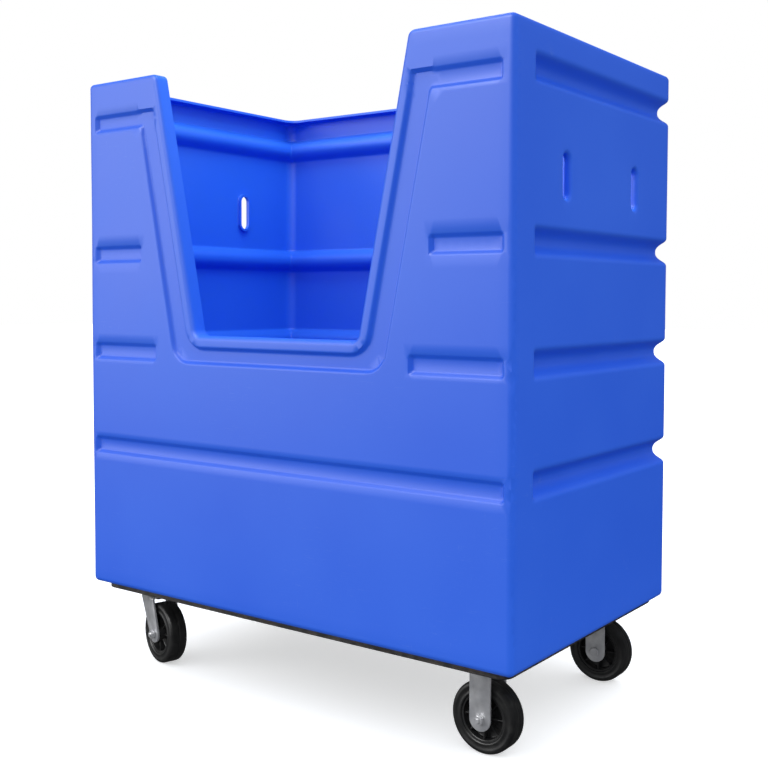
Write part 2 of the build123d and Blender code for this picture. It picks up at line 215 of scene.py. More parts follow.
class Nodes:
    """Short way to add and link nodes in one node tree."""

    def __init__(self, tree: NodeTree) -> None:
        """Work in this tree."""
        self.tree = tree

    def add(self, kind: str, settings: dict | None = None, **inputs: object) -> Node:
        """Add a node.

        Args:
            kind: node type.
            settings: attributes to set on the node.
            inputs: values or sockets by input name, with _ for a space.
        Returns:
            The new node.
        """
        node = self.tree.nodes.new(kind)
        for key, value in (settings or {}).items():
            setattr(node, key, value)
        for key, value in inputs.items():
            self.feed(node.inputs[key.replace("_", " ")], value)
        return node

    def feed(self, socket: Socket, value: object) -> None:
        """Link a socket into an input, or set its value."""
        if isinstance(value, Socket):
            self.tree.links.new(value, socket)
        else:
            socket.default_value = value

    def math(self, operation: str, a: object, b: object = 0.0, clamp: bool = False) -> Socket:
        """Result socket of one math node.

        Args:
            operation: what the node does.
            a: first value or socket.
            b: second value or socket.
            clamp: whether the result is held between 0 and 1.
        Returns:
            The result.
        """
        node = self.add("ShaderNodeMath", {"operation": operation, "use_clamp": clamp})
        self.feed(node.inputs[0], a)
        self.feed(node.inputs[1], b)
        return node.outputs[0]

    def plus(self, a: object, b: object, clamp: bool = False) -> Socket:
        """Sum of two values."""
        return self.math("ADD", a, b, clamp)

    def times(self, a: object, b: object, clamp: bool = False) -> Socket:
        """Product of two values."""
        return self.math("MULTIPLY", a, b, clamp)

    def split(self, vector: object) -> bpy.types.bpy_prop_collection:
        """X, Y and Z sockets of a vector."""
        return self.add("ShaderNodeSeparateXYZ", Vector=vector).outputs

    def surface_normal(self) -> Socket:
        """The shaded surface's normal."""
        return self.add("ShaderNodeNewGeometry").outputs["Normal"]

    def noise(self, vector: object, scale: object, detail: float, roughness: float) -> Socket:
        """Factor of a noise texture."""
        return self.add("ShaderNodeTexNoise", Vector=vector, Scale=scale, Detail=detail,
                        Roughness=roughness).outputs[0]

    def stretch(self, vector: object, scale: Triple, rotation: Triple = (0, 0, 0)) -> Socket:
        """Coordinates stretched and turned by a Mapping node."""
        mapped = self.add("ShaderNodeMapping", Vector=vector, Scale=scale, Rotation=rotation)
        return mapped.outputs[0]

    def ramp(self, value: object, low: float, high: float, out_low: float = 0.0,
             out_high: float = 1.0) -> Socket:
        """A value mapped smoothly from one range to another and held at its ends.

        Args:
            value: what is mapped.
            low: where the first range starts.
            high: where the first range ends.
            out_low: result at low.
            out_high: result at high.
        Returns:
            The mapped value.
        """
        node = self.add("ShaderNodeMapRange", {"interpolation_type": "SMOOTHSTEP"})
        for index, number in enumerate((value, low, high, out_low, out_high)):
            self.feed(node.inputs[index], number)
        return node.outputs[0]

    def mix(self, factor: object, a: object, b: object) -> Socket:
        """Mix of two colours."""
        node = self.add("ShaderNodeMix", {"data_type": "RGBA"})
        self.feed(node.inputs[0], factor)
        self.feed(node.inputs[6], a)
        self.feed(node.inputs[7], b)
        return node.outputs[2]

    def group(self, tree: NodeTree, **inputs: object) -> Socket:
        """Place a shader node group, feed its inputs by name and give its result."""
        return self.add("ShaderNodeGroup", {"node_tree": tree}, **inputs).outputs[0]


def shader_group(name: str, output: str,
                 **defaults: float) -> tuple[Nodes, bpy.types.bpy_prop_collection, Socket]:
    """Start a shader node group with a Vector input, Float inputs and one value output.

    Args:
        name: name of the group.
        output: name of the output.
        defaults: default of each Float input, by name.
    Returns:
        The group's node helper, the sockets that bring its inputs, and the one for its output.
    """
    tree = bpy.data.node_groups.new(name, "ShaderNodeTree")
    tree.interface.new_socket("Vector", in_out="INPUT", socket_type="NodeSocketVector")
    for label, default in defaults.items():
        socket = tree.interface.new_socket(label, in_out="INPUT", socket_type="NodeSocketFloat")
        socket.default_value = default
    tree.interface.new_socket(output, in_out="OUTPUT", socket_type="NodeSocketFloat")
    nodes = Nodes(tree)
    given, result = nodes.add("NodeGroupInput"), nodes.add("NodeGroupOutput")
    return nodes, given.outputs, result.inputs[output]


class SurfaceEffects:
    """Shader node groups that several finishes share, each built once."""

    def __init__(self) -> None:
        """Build every group."""
        self.clouding = self.make_clouding()
        self.scuffs = self.make_scuffs()
        self.grain = self.make_grain()
        self.dust = self.make_dust()

    @staticmethod
    def make_clouding() -> NodeTree:
        """Slow, soft change over a surface, about zero."""
        nodes, given, result = shader_group("soft_clouding", "Cloud", Scale=3.0)
        cloud = nodes.noise(given["Vector"], given["Scale"], 3.0, 0.5)
        nodes.feed(result, nodes.math("SUBTRACT", cloud, 0.5))
        return nodes.tree

    @staticmethod
    def make_scuffs() -> NodeTree:
        """Sparse streaks of rubbed and scratched surface, 0 to 1."""
        nodes, given, result = shader_group("scuff_streaks", "Scuff", Scale=6.0, Amount=0.5)
        where = given["Vector"]
        patches = nodes.noise(where, given["Scale"], 2.0, 0.5)
        level = nodes.stretch(where, (1.0, 1.0, 16.0), (0.1, 0.2, 0.3))
        level = nodes.ramp(nodes.noise(level, 26.0, 4.0, 0.7), 0.60, 0.72)
        slanted = nodes.stretch(where, (22.0, 2.0, 2.0), (0.5, 0.3, 0.7))
        slanted = nodes.ramp(nodes.noise(slanted, 14.0, 4.0, 0.7), 0.62, 0.74)
        streaks = nodes.math("MAXIMUM", level, slanted)
        masked = nodes.times(streaks, nodes.ramp(patches, 0.50, 0.66))
        nodes.feed(result, nodes.times(masked, given["Amount"], True))
        return nodes.tree

    @staticmethod
    def make_grain() -> NodeTree:
        """Fine moulded or plated texture as a height."""
        nodes, given, result = shader_group("fine_grain", "Height", Scale=300.0)
        fine = nodes.noise(given["Vector"], given["Scale"], 2.0, 0.5)
        coarse = nodes.noise(given["Vector"], nodes.times(given["Scale"], 0.23), 1.0, 0.5)
        nodes.feed(result, nodes.plus(fine, coarse))
        return nodes.tree

    @staticmethod
    def make_dust() -> NodeTree:
        """Dust that settles on faces that look up and gathers low down, 0 to 1."""
        nodes, given, result = shader_group("settled_dust", "Dust", Amount=0.3, Height=0.3)
        facing = nodes.ramp(nodes.split(nodes.surface_normal())[2], 0.1, 1.0, 0.25, 1.0)
        height = nodes.math("DIVIDE", nodes.split(given["Vector"])[2], given["Height"])
        low = nodes.math("SUBTRACT", 1.0, height, True)
        speckle = nodes.ramp(nodes.noise(given["Vector"], 38.0, 5.0, 0.7), 0.42, 0.72)
        settled = nodes.times(nodes.plus(nodes.times(low, 0.7), facing), speckle)
        nodes.feed(result, nodes.times(settled, given["Amount"], True))
        return nodes.tree


@dataclass(frozen=True)
class Finish:
    """A surface finish: its colours and gloss, and the effects laid over them."""

    name: str
    colour: Triple
    shift: Triple
    roughness: float
    metallic: float = 0.0
    cloud_scale: float = 3.0
    cloud_amount: float = 0.5
    cloud_roughness: float = 0.18
    scuff_scale: float = 5.0
    scuff_amount: float = 0.4
    scuff_colour: Triple = (0.5, 0.5, 0.5)
    scuff_roughness: float = 0.2
    scuff_relief: float = 0.6
    grain_scale: float = 300.0
    grain_depth: float = 0.02 * MM
    dust_amount: float = 0.0
    dust_height: float = 0.3
    dust_colour: Triple = (0.30, 0.28, 0.25)
    dust_roughness: float = 0.35
    specular: float = 0.5

    def build(self, effects: SurfaceEffects) -> Material:
        """Make the material.

        Args:
            effects: the shared shader node groups.
        Returns:
            The finished material.
        """
        material = bpy.data.materials.new(self.name)
        material.use_nodes = True
        material.node_tree.nodes.clear()
        nodes = Nodes(material.node_tree)
        where = nodes.add("ShaderNodeTexCoord").outputs["Object"]
        cloud = nodes.group(effects.clouding, Vector=where, Scale=self.cloud_scale)
        scuff = nodes.group(effects.scuffs, Vector=where, Scale=self.scuff_scale,
                            Amount=self.scuff_amount)
        grain = nodes.group(effects.grain, Vector=where, Scale=self.grain_scale)
        factor = nodes.plus(nodes.times(cloud, 2.0 * self.cloud_amount), 0.5, True)
        colour = nodes.mix(factor, (*self.colour, 1.0), (*self.shift, 1.0))
        colour = self.pattern(nodes, where, colour)
        colour = nodes.mix(scuff, colour, (*self.scuff_colour, 1.0))
        rough = nodes.plus(self.roughness, nodes.times(cloud, self.cloud_roughness))
        rough = nodes.plus(rough, nodes.times(scuff, self.scuff_roughness), True)
        if self.dust_amount:
            dust = nodes.group(effects.dust, Vector=where, Amount=self.dust_amount,
                               Height=self.dust_height)
            colour = nodes.mix(dust, colour, (*self.dust_colour, 1.0))
            rough = nodes.plus(rough, nodes.times(dust, self.dust_roughness), True)
        height = nodes.math("SUBTRACT", grain, nodes.times(scuff, self.scuff_relief))
        bump = nodes.add("ShaderNodeBump", Height=height, Distance=self.grain_depth, Strength=1.0)
        skin = nodes.add("ShaderNodeBsdfPrincipled", Base_Color=colour, Roughness=rough,
                         Metallic=self.metallic, Specular_IOR_Level=self.specular,
                         Normal=bump.outputs[0])
        nodes.add("ShaderNodeOutputMaterial", Surface=skin.outputs[0])
        return material

    def pattern(self, nodes: Nodes, where: Socket, colour: Socket) -> Socket:
        """Colour with this finish's own pattern laid over it; plain finishes have none."""
        return colour


@dataclass(frozen=True)
class PlywoodFinish(Finish):
    """Black-faced plywood with its plies showing faintly through the painted edge."""

    ply: float = 2.3 * MM
    ply_colour: Triple = (0.10, 0.055, 0.026)
    ply_amount: float = 0.7

    def pattern(self, nodes: Nodes, where: Socket, colour: Socket) -> Socket:
        """Worn stripes of bare ply along the edges.

        Args:
            nodes: the material's node helper.
            where: object coordinates.
            colour: the paint colour.
        Returns:
            The paint with plies worn through.
        """
        level = nodes.split(where)[2]
        facing = nodes.math("ABSOLUTE", nodes.split(nodes.surface_normal())[2])
        edge = nodes.ramp(facing, 0.25, 0.6, 1.0, 0.0)
        wave = nodes.math("SINE", nodes.times(level, TURN / (2 * self.ply)))
        stripes = nodes.ramp(wave, -0.2, 0.5)
        worn = nodes.noise(nodes.stretch(where, (1.0, 1.0, 4.0)), 22.0, 4.0, 0.65)
        shown = nodes.times(nodes.times(edge, stripes), nodes.ramp(worn, 0.42, 0.62))
        return nodes.mix(nodes.times(shown, self.ply_amount), colour, (*self.ply_colour, 1.0))


class Slot(Enum):
    """The record's material slots."""

    BLUE_POLYETHYLENE = "blue_polyethylene"
    BLACK_PLYWOOD = "black_plywood"
    ZINC_STEEL = "zinc_steel"
    BEARING_STEEL = "bearing_steel"
    BLACK_TYRE = "black_tyre"
    DARK_CORE = "dark_core"


class Finishes:
    """Every finish of the truck, by its material slot."""

    def __init__(self) -> None:
        """Build the shared effects and all the materials."""
        effects = SurfaceEffects()
        finishes = (
            Finish("blue_polyethylene", (0.010, 0.107, 0.760), (0.020, 0.136, 0.815), 0.50,
                   cloud_scale=2.2, cloud_amount=0.8, scuff_scale=3.0, scuff_amount=0.16,
                   scuff_colour=(0.18, 0.32, 0.82), grain_scale=420.0, grain_depth=0.05 * MM,
                   specular=0.32),
            PlywoodFinish("black_plywood", (0.013, 0.012, 0.012), (0.024, 0.022, 0.021), 0.62,
                          cloud_scale=9.0, scuff_scale=7.0, scuff_amount=0.5,
                          scuff_colour=(0.09, 0.07, 0.05), grain_scale=240.0,
                          grain_depth=0.12 * MM, dust_amount=0.25, dust_height=0.4),
            Finish("zinc_steel", (0.40, 0.40, 0.42), (0.66, 0.66, 0.67), 0.34, 0.45,
                   cloud_scale=34.0, cloud_amount=0.9, scuff_scale=16.0, scuff_amount=0.5,
                   scuff_colour=(0.33, 0.33, 0.34), grain_scale=900.0, grain_depth=0.03 * MM,
                   dust_amount=0.16),
            Finish("bearing_steel", (0.52, 0.52, 0.53), (0.36, 0.35, 0.34), 0.24, 1.0,
                   cloud_scale=60.0, scuff_scale=20.0, scuff_amount=0.3,
                   scuff_colour=(0.16, 0.14, 0.12), grain_scale=1200.0, grain_depth=0.01 * MM),
            Finish("black_tyre", (0.007, 0.007, 0.008), (0.014, 0.014, 0.014), 0.42,
                   cloud_scale=26.0, cloud_amount=0.8, scuff_scale=12.0, scuff_amount=0.35,
                   scuff_colour=(0.05, 0.048, 0.047), grain_scale=620.0, grain_depth=0.05 * MM,
                   dust_amount=0.06, dust_height=0.16),
            Finish("dark_core", (0.007, 0.007, 0.008), (0.013, 0.013, 0.014), 0.44,
                   cloud_scale=30.0, scuff_scale=14.0, scuff_amount=0.3,
                   scuff_colour=(0.05, 0.05, 0.05), grain_scale=700.0, grain_depth=0.03 * MM,
                   dust_amount=0.08, dust_height=0.16),
        )
        self.by_slot = {finish.name: finish.build(effects) for finish in finishes}

    def hand_over(self, piece: Piece, slot: Slot, body: str, *nodes: str) -> None:
        """Dress a new piece and tie it to the frame.

        Args:
            piece: the finished piece.
            slot: its material slot.
            body: the body that it moves with.
            nodes: the CAD nodes that it stands for.
        """
        dress(piece, self.by_slot[slot.value])
        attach(piece, body)
        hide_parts(*nodes)

    def dress_node(self, node: str, slot: Slot) -> None:
        """Dress a CAD node that stays."""
        dress(frame["nodes"][node], self.by_slot[slot.value])


# ---------------------------------------------------------------- the tub

@dataclass(frozen=True)
class Pocket:
    """A shallow pocket pressed in the front wall, the same on both sides of the middle."""

    drop: float
    inner: float


@dataclass(frozen=True)
class Tub:
    """The moulded tub, built as one sheet of wall that is then given its thickness.

    A place on the wall is (u, drop): u runs round the outline from the middle of the front,
    positive to the right, and drop is the distance down from the top.
    """

    length: float = 1280 * MM
    width: float = 800 * MM
    height: float = 1300 * MM
    draft: float = 11 * MM
    wall: float = 6.4 * MM
    front_corner: float = 14 * MM
    back_corner: float = 35 * MM
    floor_edge: float = 13 * MM
    rim_bend: float = 12 * MM
    rim_reach: float = 40 * MM
    rim_corner: float = 35 * MM
    sill_drop: float = 650 * MM
    opening_top: float = 384 * MM
    opening_sill: float = 248 * MM
    sill_corner: float = 20 * MM
    post_corner: float = 18 * MM
    groove_drops: tuple[float, ...] = (92 * MM, 441 * MM, 689 * MM, 933 * MM)
    groove_half: float = 28.5 * MM
    groove_bed: float = 12 * MM
    groove_depth: float = 27 * MM
    groove_start_y: float = -312 * MM
    groove_end_run: float = 22 * MM
    groove_end_blend: float = 8 * MM
    groove_lip: float = 9 * MM
    groove_foot: float = 16 * MM
    pocket_depth: float = 10 * MM
    pocket_half: float = 20 * MM
    pocket_outer: float = 611 * MM
    pocket_corner: float = 6 * MM
    pressed_blend: float = 6 * MM
    pockets: tuple[Pocket, ...] = (Pocket(108 * MM, 391 * MM), Pocket(447 * MM, 438 * MM),
                                   Pocket(695 * MM, 385 * MM))
    belt_drop: float = 939 * MM
    channel_inner: float = 28 * MM
    channel_side: float = 81 * MM
    channel_sill: float = 67 * MM
    channel_corner: float = 42 * MM
    slot_half: float = 16 * MM
    slot_half_height: float = 49 * MM
    slot_drop: float = 300 * MM
    slot_y: float = 174 * MM
    slot_bend: float = 9 * MM
    slot_collar: float = 16 * MM
    edge_lip: float = 3 * MM
    edge_run: float = 6.5 * MM
    fine_pitch: float = 4 * MM
    line_pitch: float = 12 * MM
    coarse_pitch: float = 26 * MM
    clearance: float = 2.5 * MM
    bend_steps: int = 7
    slot_steps: int = 5
    waves: tuple[Point2, ...] = ((2.1, 0.9 * MM), (6.3, 0.3 * MM))
    shrink: float = 0.3 * MM
    top: float = field(default_factory=lambda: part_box("tub")[1].z)

    @property
    def half_front(self) -> float:
        """Half the straight part of the front wall at the top."""
        return self.length / 2 - self.front_corner

    @property
    def half_back(self) -> float:
        """Half the straight part of the back wall at the top."""
        return self.length / 2 - self.back_corner

    @property
    def end_start(self) -> float:
        """Where the end wall starts."""
        return self.half_front + self.front_corner * math.pi / 2

    @property
    def end_middle(self) -> float:
        """The middle of an end wall, at y = 0."""
        return self.end_start + self.width / 2 - self.front_corner

    @property
    def groove_start(self) -> float:
        """Where the grooves start on an end wall."""
        return self.end_middle + self.groove_start_y

    @property
    def back_corner_start(self) -> float:
        """Where the end wall gives way to the back corner."""
        return self.end_middle + self.width / 2 - self.back_corner

    @property
    def back_start(self) -> float:
        """Where the back wall starts."""
        return self.back_corner_start + self.back_corner * math.pi / 2

    @property
    def seam(self) -> float:
        """The middle of the back wall."""
        return self.back_start + self.half_back

    @property
    def slope(self) -> float:
        """Angle by which the opening's sides lean, in radians."""
        return math.atan2(self.opening_top - self.opening_sill, self.sill_drop)

    def lean(self, drop: float) -> float:
        """How far a wall stands inside its top position at this drop."""
        return self.draft * drop / self.height

    def front_scale(self, drop: float) -> float:
        """Ratio between x on the front wall and u at this drop."""
        return (self.half_front - self.lean(drop)) / self.half_front

    def front_x(self, u: float, drop: float) -> float:
        """Distance from the middle of the front, which goes on round the corner."""
        along = abs(u)
        if along <= self.half_front:
            return along * self.front_scale(drop)
        return self.half_front - self.lean(drop) + along - self.half_front

    def outline(self, u: float, drop: float) -> tuple[Vector, Vector]:
        """Plain wall, before anything is pressed into it.

        Args:
            u: distance round the outline.
            drop: distance down from the top.
        Returns:
            The place there and the outward direction.
        """
        along, sign = abs(u), -1.0 if u < 0 else 1.0
        lean, height = self.lean(drop), self.top - drop
        front_x, back_x = self.half_front - lean, self.half_back - lean
        front_y = self.width / 2 - self.front_corner - lean
        back_y = self.width / 2 - self.back_corner - lean
        if along <= self.half_front:
            out = Vector((0, -1, 0))
            x = front_x * along / self.half_front
            place = Vector((x, -front_y - self.front_corner, height))
        elif along <= self.end_start:
            angle = (along - self.half_front) / self.front_corner
            out = Vector((math.sin(angle), -math.cos(angle), 0))
            place = Vector((front_x, -front_y, height)) + out * self.front_corner
        elif along <= self.back_corner_start:
            out = Vector((1, 0, 0))
            share = (along - self.end_start) / (self.back_corner_start - self.end_start)
            place = Vector((self.length / 2 - lean, -front_y + (front_y + back_y) * share, height))
        elif along <= self.back_start:
            angle = (along - self.back_corner_start) / self.back_corner
            out = Vector((math.cos(angle), math.sin(angle), 0))
            place = Vector((back_x, back_y, height)) + out * self.back_corner
        else:
            out = Vector((0, 1, 0))
            x = back_x * (self.seam - along) / self.half_back
            place = Vector((x, self.width / 2 - lean, height))
        flip = Vector((sign, 1, 1))
        return place * flip, out * flip

    def opening_x(self, drop: float) -> float:
        """Where the opening's side is at this drop."""
        return self.opening_top - math.tan(self.slope) * drop

    def side_gap(self, x: float, drop: float, margin: float) -> float:
        """Distance outside a line parallel to the opening's side."""
        return (x - self.opening_x(drop)) * math.cos(self.slope) - margin

    def opening_gap(self, x: float, drop: float, margin: float, radius: float) -> float:
        """Signed distance to the opening's outline grown by a margin, below zero inside."""
        below = drop - self.sill_drop - margin
        return rounded_corner(self.side_gap(x, drop, margin), below, radius)

    def channel_gap(self, x: float, drop: float) -> float:
        """Signed distance to the edge of the channel that follows the opening."""
        outer = rounded_corner(self.side_gap(x, drop, self.channel_side),
                               drop - self.sill_drop - self.channel_sill, self.channel_corner)
        inner = self.opening_gap(x, drop, self.channel_inner, self.channel_corner)
        return max(outer, -inner, self.pockets[0].drop - self.pocket_half - drop)

    def pocket_gap(self, x: float, drop: float) -> float:
        """Signed distance to the edge of the nearest pocket of the front wall."""
        boxes = [(p.drop, p.inner) for p in self.pockets] + [(self.belt_drop, -self.pocket_outer)]
        gaps = []
        for middle, start in boxes:
            across = abs(x - (self.pocket_outer + start) / 2) - (self.pocket_outer - start) / 2
            level = abs(drop - middle) - self.pocket_half
            gaps.append(rounded_corner(across, level, self.pocket_corner))
        return min(gaps)

    def pressed_gap(self, x: float, drop: float) -> float:
        """Signed distance to the edge of everything pressed into the front wall."""
        return soft_min(self.channel_gap(x, drop), self.pocket_gap(x, drop), self.pressed_blend)

    def depth(self, u: float, drop: float) -> float:
        """How far the wall is pressed in.

        Args:
            u: distance round the outline.
            drop: distance down from the top.
        Returns:
            The depth, zero where the wall is plain.
        """
        if abs(u) < self.end_start:
            gap = self.pressed_gap(self.front_x(u, drop), drop)
            share = min(1.0, max(0.0, (self.edge_lip - gap) / (self.edge_lip + self.edge_run)))
            return self.pocket_depth * share * share * (3 - 2 * share)
        off_centre = min(abs(drop - centre) for centre in self.groove_drops)
        flank = self.groove_half - self.groove_bed
        across = (self.groove_half - off_centre) * self.groove_depth / flank
        ahead = (abs(u) - self.groove_start) * self.groove_depth / self.groove_end_run
        lipped = soft_max(soft_min(across, ahead, self.groove_end_blend), 0.0, self.groove_lip)
        return soft_min(lipped, self.groove_depth, self.groove_foot) if lipped > 0 else 0.0

    def surface(self, u: float, drop: float) -> tuple[Vector, Vector]:
        """Place on the finished outer face, and the outward direction there."""
        place, out = self.outline(u, drop)
        slow = sum(noise.noise(place * scale) * size for scale, size in self.waves)
        return place - out * (self.depth(u, drop) + max(0.0, slow + self.shrink)), out

    def slot_gap(self, u: float, drop: float) -> float:
        """Signed distance to the nearest hand slot's edge, below zero inside."""
        across = abs(abs(abs(u) - self.end_middle) - self.slot_y)
        straight = self.slot_half_height - self.slot_half
        return math.hypot(across, max(0.0, abs(drop - self.slot_drop) - straight)) - self.slot_half

    def on_wall(self, u: float, drop: float, clear: float = 0.0) -> bool:
        """Whether a place is on the wall sheet.

        Args:
            u: distance round the outline.
            drop: distance down from the top.
            clear: least distance from the sheet's cut edges.
        Returns:
            True on the sheet.
        """
        if self.slot_gap(u, drop) < self.slot_bend + clear:
            return False
        x = self.front_x(u, drop)
        if abs(u) > self.half_front:
            return drop > self.rim_bend - 1e-6 + clear
        if self.opening_gap(x, drop, self.rim_bend, self.sill_corner + self.rim_bend) < clear:
            return False
        centre = self.post_centre()
        if x < centre[0] and drop < centre[1]:
            reach = self.post_corner - self.rim_bend - clear
            return math.hypot(x - centre[0], drop - centre[1]) < reach
        return drop > self.rim_bend - 1e-6 + clear

    def post_centre(self) -> Point2:
        """Centre of the round at the top of a post, as (x, drop)."""
        x = self.opening_x(self.post_corner) + self.post_corner / math.cos(self.slope)
        return x, self.post_corner

    def opening_edge(self) -> list[EdgePoint]:
        """Bend line beside the opening, right half, from the post's top to the sill's middle.

        Returns:
            (x, drop, x direction, drop direction) where the direction points into the opening.
        """
        lean = math.degrees(self.slope)
        post, small = self.post_centre(), self.post_corner - self.rim_bend
        line: list[EdgePoint] = []
        for angle in spread(-90, -180 + lean, 14):
            across, down = math.cos(math.radians(angle)), math.sin(math.radians(angle))
            line.append((post[0] + small * across, post[1] + small * down, across, down))
        margin, upper = self.rim_bend, line[-1]
        lower, bend, sill = self.follow_opening(margin, margin, self.sill_corner + margin)
        for t in spread(0, 1, self.line_pitch / math.dist(upper[:2], lower))[1:-1]:
            x, drop = (a + (b - a) * t for a, b in zip(upper, lower))
            line.append((x, drop, upper[2], upper[3]))
        line += bend
        line += [(x, drop, 0.0, -1.0) for x, drop in sill]
        return line

    def follow_opening(self, side: float, sill: float,
                       radius: float) -> tuple[Point2, list[EdgePoint], list[Point2]]:
        """A line that keeps a distance from the opening's side and sill.

        Args:
            side: distance outside the opening's side.
            sill: distance below the sill.
            radius: of the corner between them.
        Returns:
            Where the side gives way to the corner, the corner's points with their directions
            inwards, and the points along the sill to its middle.
        """
        low_drop = self.sill_drop + sill - radius
        low_x = self.opening_x(low_drop) + (side - radius) / math.cos(self.slope)
        bend = []
        for angle in spread(math.degrees(self.slope), 90, 7):
            across, down = math.cos(math.radians(angle)), math.sin(math.radians(angle))
            bend.append((low_x + radius * across, low_drop + radius * down, -across, -down))
        line = [(x, self.sill_drop + sill) for x in spread(low_x, 0.0, self.line_pitch)[1:]]
        return bend[0][:2], bend, line

    def channel_lines(self) -> list[Point2]:
        """Points in rows along both edges of the channel, as (x, drop)."""
        found: list[Point2] = []
        first = self.pockets[0].drop - self.pocket_half
        inner = (self.channel_inner, self.channel_inner, self.channel_corner)
        outer = (self.channel_side, self.channel_sill, self.channel_corner)
        for gap in (-9.5, -6.5, -4.5, -2.5, -0.5, 1.5, 3, 6):
            for sizes, way in ((inner, -1), (outer, 1)):
                side, sill, radius = (size + way * (gap * MM) for size in sizes)
                lower, bend, sill_line = self.follow_opening(side, sill, radius)
                for drop in spread(first, lower[1], self.line_pitch)[:-1]:
                    found.append((self.opening_x(drop) + side / math.cos(self.slope), drop))
                found += [(x, drop) for x, drop, _, _ in bend] + sill_line
        return found

    def top_edge(self) -> list[tuple[float, float, Vector]]:
        """Whole bend line under the rim, from the seam round the left, the front and the right.

        Returns:
            (u, drop, direction in which the wall carries on) for each point.
        """
        up = Vector((0, 0, 1))
        right = [(x / self.front_scale(drop), drop, Vector((across, 0, -down)))
                 for x, drop, across, down in self.opening_edge()]
        columns = [u for u in self.columns() if u > right[0][0] + 4 * MM]
        right = [(u, self.rim_bend, up) for u in reversed(columns)] + right
        left = [(-u, drop, Vector((-way.x, way.y, way.z))) for u, drop, way in right]
        return left + list(reversed(right[:-1]))

    def columns(self) -> list[float]:
        """Values of u for the right half, closer together round corners and groove starts."""
        before, after = self.groove_start - 8 * MM, self.groove_start + 36 * MM
        stops = ((0.0, self.half_front, self.coarse_pitch),
                 (self.half_front, self.end_start, 2.5 * MM),
                 (self.end_start, before, 15 * MM),
                 (before, after, 4 * MM),
                 (after, self.back_corner_start, self.coarse_pitch),
                 (self.back_corner_start, self.back_start, 4 * MM),
                 (self.back_start, self.seam, self.coarse_pitch))
        found = [0.0]
        for start, end, pitch in stops:
            found += spread(start, end, pitch)[1:]
        return found

    def rows(self) -> list[float]:
        """Drops for the ends and the back, closer together across the grooves."""
        marks = (-38, -33, -29, -26, -23, -20, -17.5, -15, -12.5, -10, -7, -3.5, 0)
        section = [m * MM for m in marks] + [-m * MM for m in reversed(marks[:-1])]
        found, at = [], self.rim_bend
        for centre in self.groove_drops:
            top = centre + section[0]
            found += spread(at, top, self.coarse_pitch)[:-1] + [centre + s for s in section[:-1]]
            at = centre + section[-1]
        return found + spread(at, self.height - self.floor_edge, self.coarse_pitch)

    def slot_edges(self) -> list[list[EdgePoint]]:
        """Bend line round each hand slot: (u, drop, u direction, drop direction) inwards."""
        radius = self.slot_half + self.slot_bend
        straight = self.slot_half_height - self.slot_half
        shape: list[EdgePoint] = []
        for turn, shift in ((0, straight), (180, -straight)):
            for angle in spread(turn, turn + 180, 12):
                across, down = math.cos(math.radians(angle)), math.sin(math.radians(angle))
                shape.append((radius * across, shift + radius * down, -across, -down))
            last, inwards = shape[-1], 1.0 if turn == 0 else -1.0
            for drop in spread(last[1], -last[1], 9 * MM)[1:-1]:
                shape.append((last[0], drop, inwards, 0.0))
        middle = self.end_middle
        centres = [side * (middle + y) for side in (-1, 1) for y in (-self.slot_y, self.slot_y)]
        return [[(centre + x, self.slot_drop + drop, across, down)
                 for x, drop, across, down in shape] for centre in centres]

    def wall_points(self) -> list[Point2]:
        """Points inside the wall sheet that the mesh passes through, as (u, drop)."""
        points: list[Point2] = []
        bottom = self.height - self.floor_edge
        rows = self.rows()[1:-1]
        for u in self.columns():
            if u >= self.end_start:
                points += [(u, drop) for drop in rows]
        outer, inner = self.edge_lip + 3 * MM, -self.edge_run - 3 * MM
        plain = spread(self.rim_bend, bottom, self.coarse_pitch)[1:-1]
        for u in (u for u in self.columns() if u < self.end_start):
            for drop in plain:
                gap = self.pressed_gap(self.front_x(u, drop), drop)
                if not inner - 5 * MM < gap < outer + 5 * MM:
                    points.append((u, drop))
        fine_rows = spread(self.rim_bend, bottom, self.fine_pitch)[1:-1]
        for u in spread(0.0, self.half_front, self.fine_pitch):
            points += [(u, drop) for drop in fine_rows
                       if inner < self.pocket_gap(self.front_x(u, drop), drop) < outer]
        for x, drop in self.channel_lines():
            if x >= 0 and not inner - 2 * MM < self.pocket_gap(x, drop) < outer + 2 * MM:
                points.append((x / self.front_scale(drop), drop))
        kept = [p for p in points if self.on_wall(p[0], p[1], self.clearance)]
        return kept + [(-u, drop) for u, drop in kept if u > 1e-6]

    def build_sheet(self) -> Builder:
        """The outer face as one sheet: walls, rim, slot collars and floor.

        Returns:
            The sheet as a bmesh, faces outwards.
        """
        top_edge = self.top_edge()
        bottom = self.height - self.floor_edge
        base_u = [u for u in self.columns() if u > 1e-6]
        bottom_u = [-u for u in reversed(base_u)] + [0.0] + base_u
        flat: list[Point2] = []
        edges: list[tuple[int, int]] = []

        def add_line(line: Iterable[Point2], closed: bool = False) -> list[int]:
            """Add constraint points in a row and the edges between them."""
            first = len(flat)
            flat.extend(line)
            indices = list(range(first, len(flat)))
            edges.extend(zip(indices, indices[1:]))
            if closed:
                edges.append((indices[-1], first))
            return indices

        top_ids = add_line((u, d) for u, d, _ in top_edge)
        bottom_ids = add_line((u, bottom) for u in bottom_u)
        slots = self.slot_edges()
        slot_ids = [add_line(((u, d) for u, d, _, _ in loop), closed=True) for loop in slots]
        seam_rows = self.rows()[1:-1]
        for side in (-1, 1):
            ends = (top_ids[0], bottom_ids[0]) if side < 0 else (top_ids[-1], bottom_ids[-1])
            line = [ends[0]] + add_line((side * self.seam, drop) for drop in seam_rows) + [ends[1]]
            edges += [(line[0], line[1]), (line[-2], line[-1])]
        flat += [p for p in self.wall_points() if abs(p[0]) < self.seam - 1e-6]

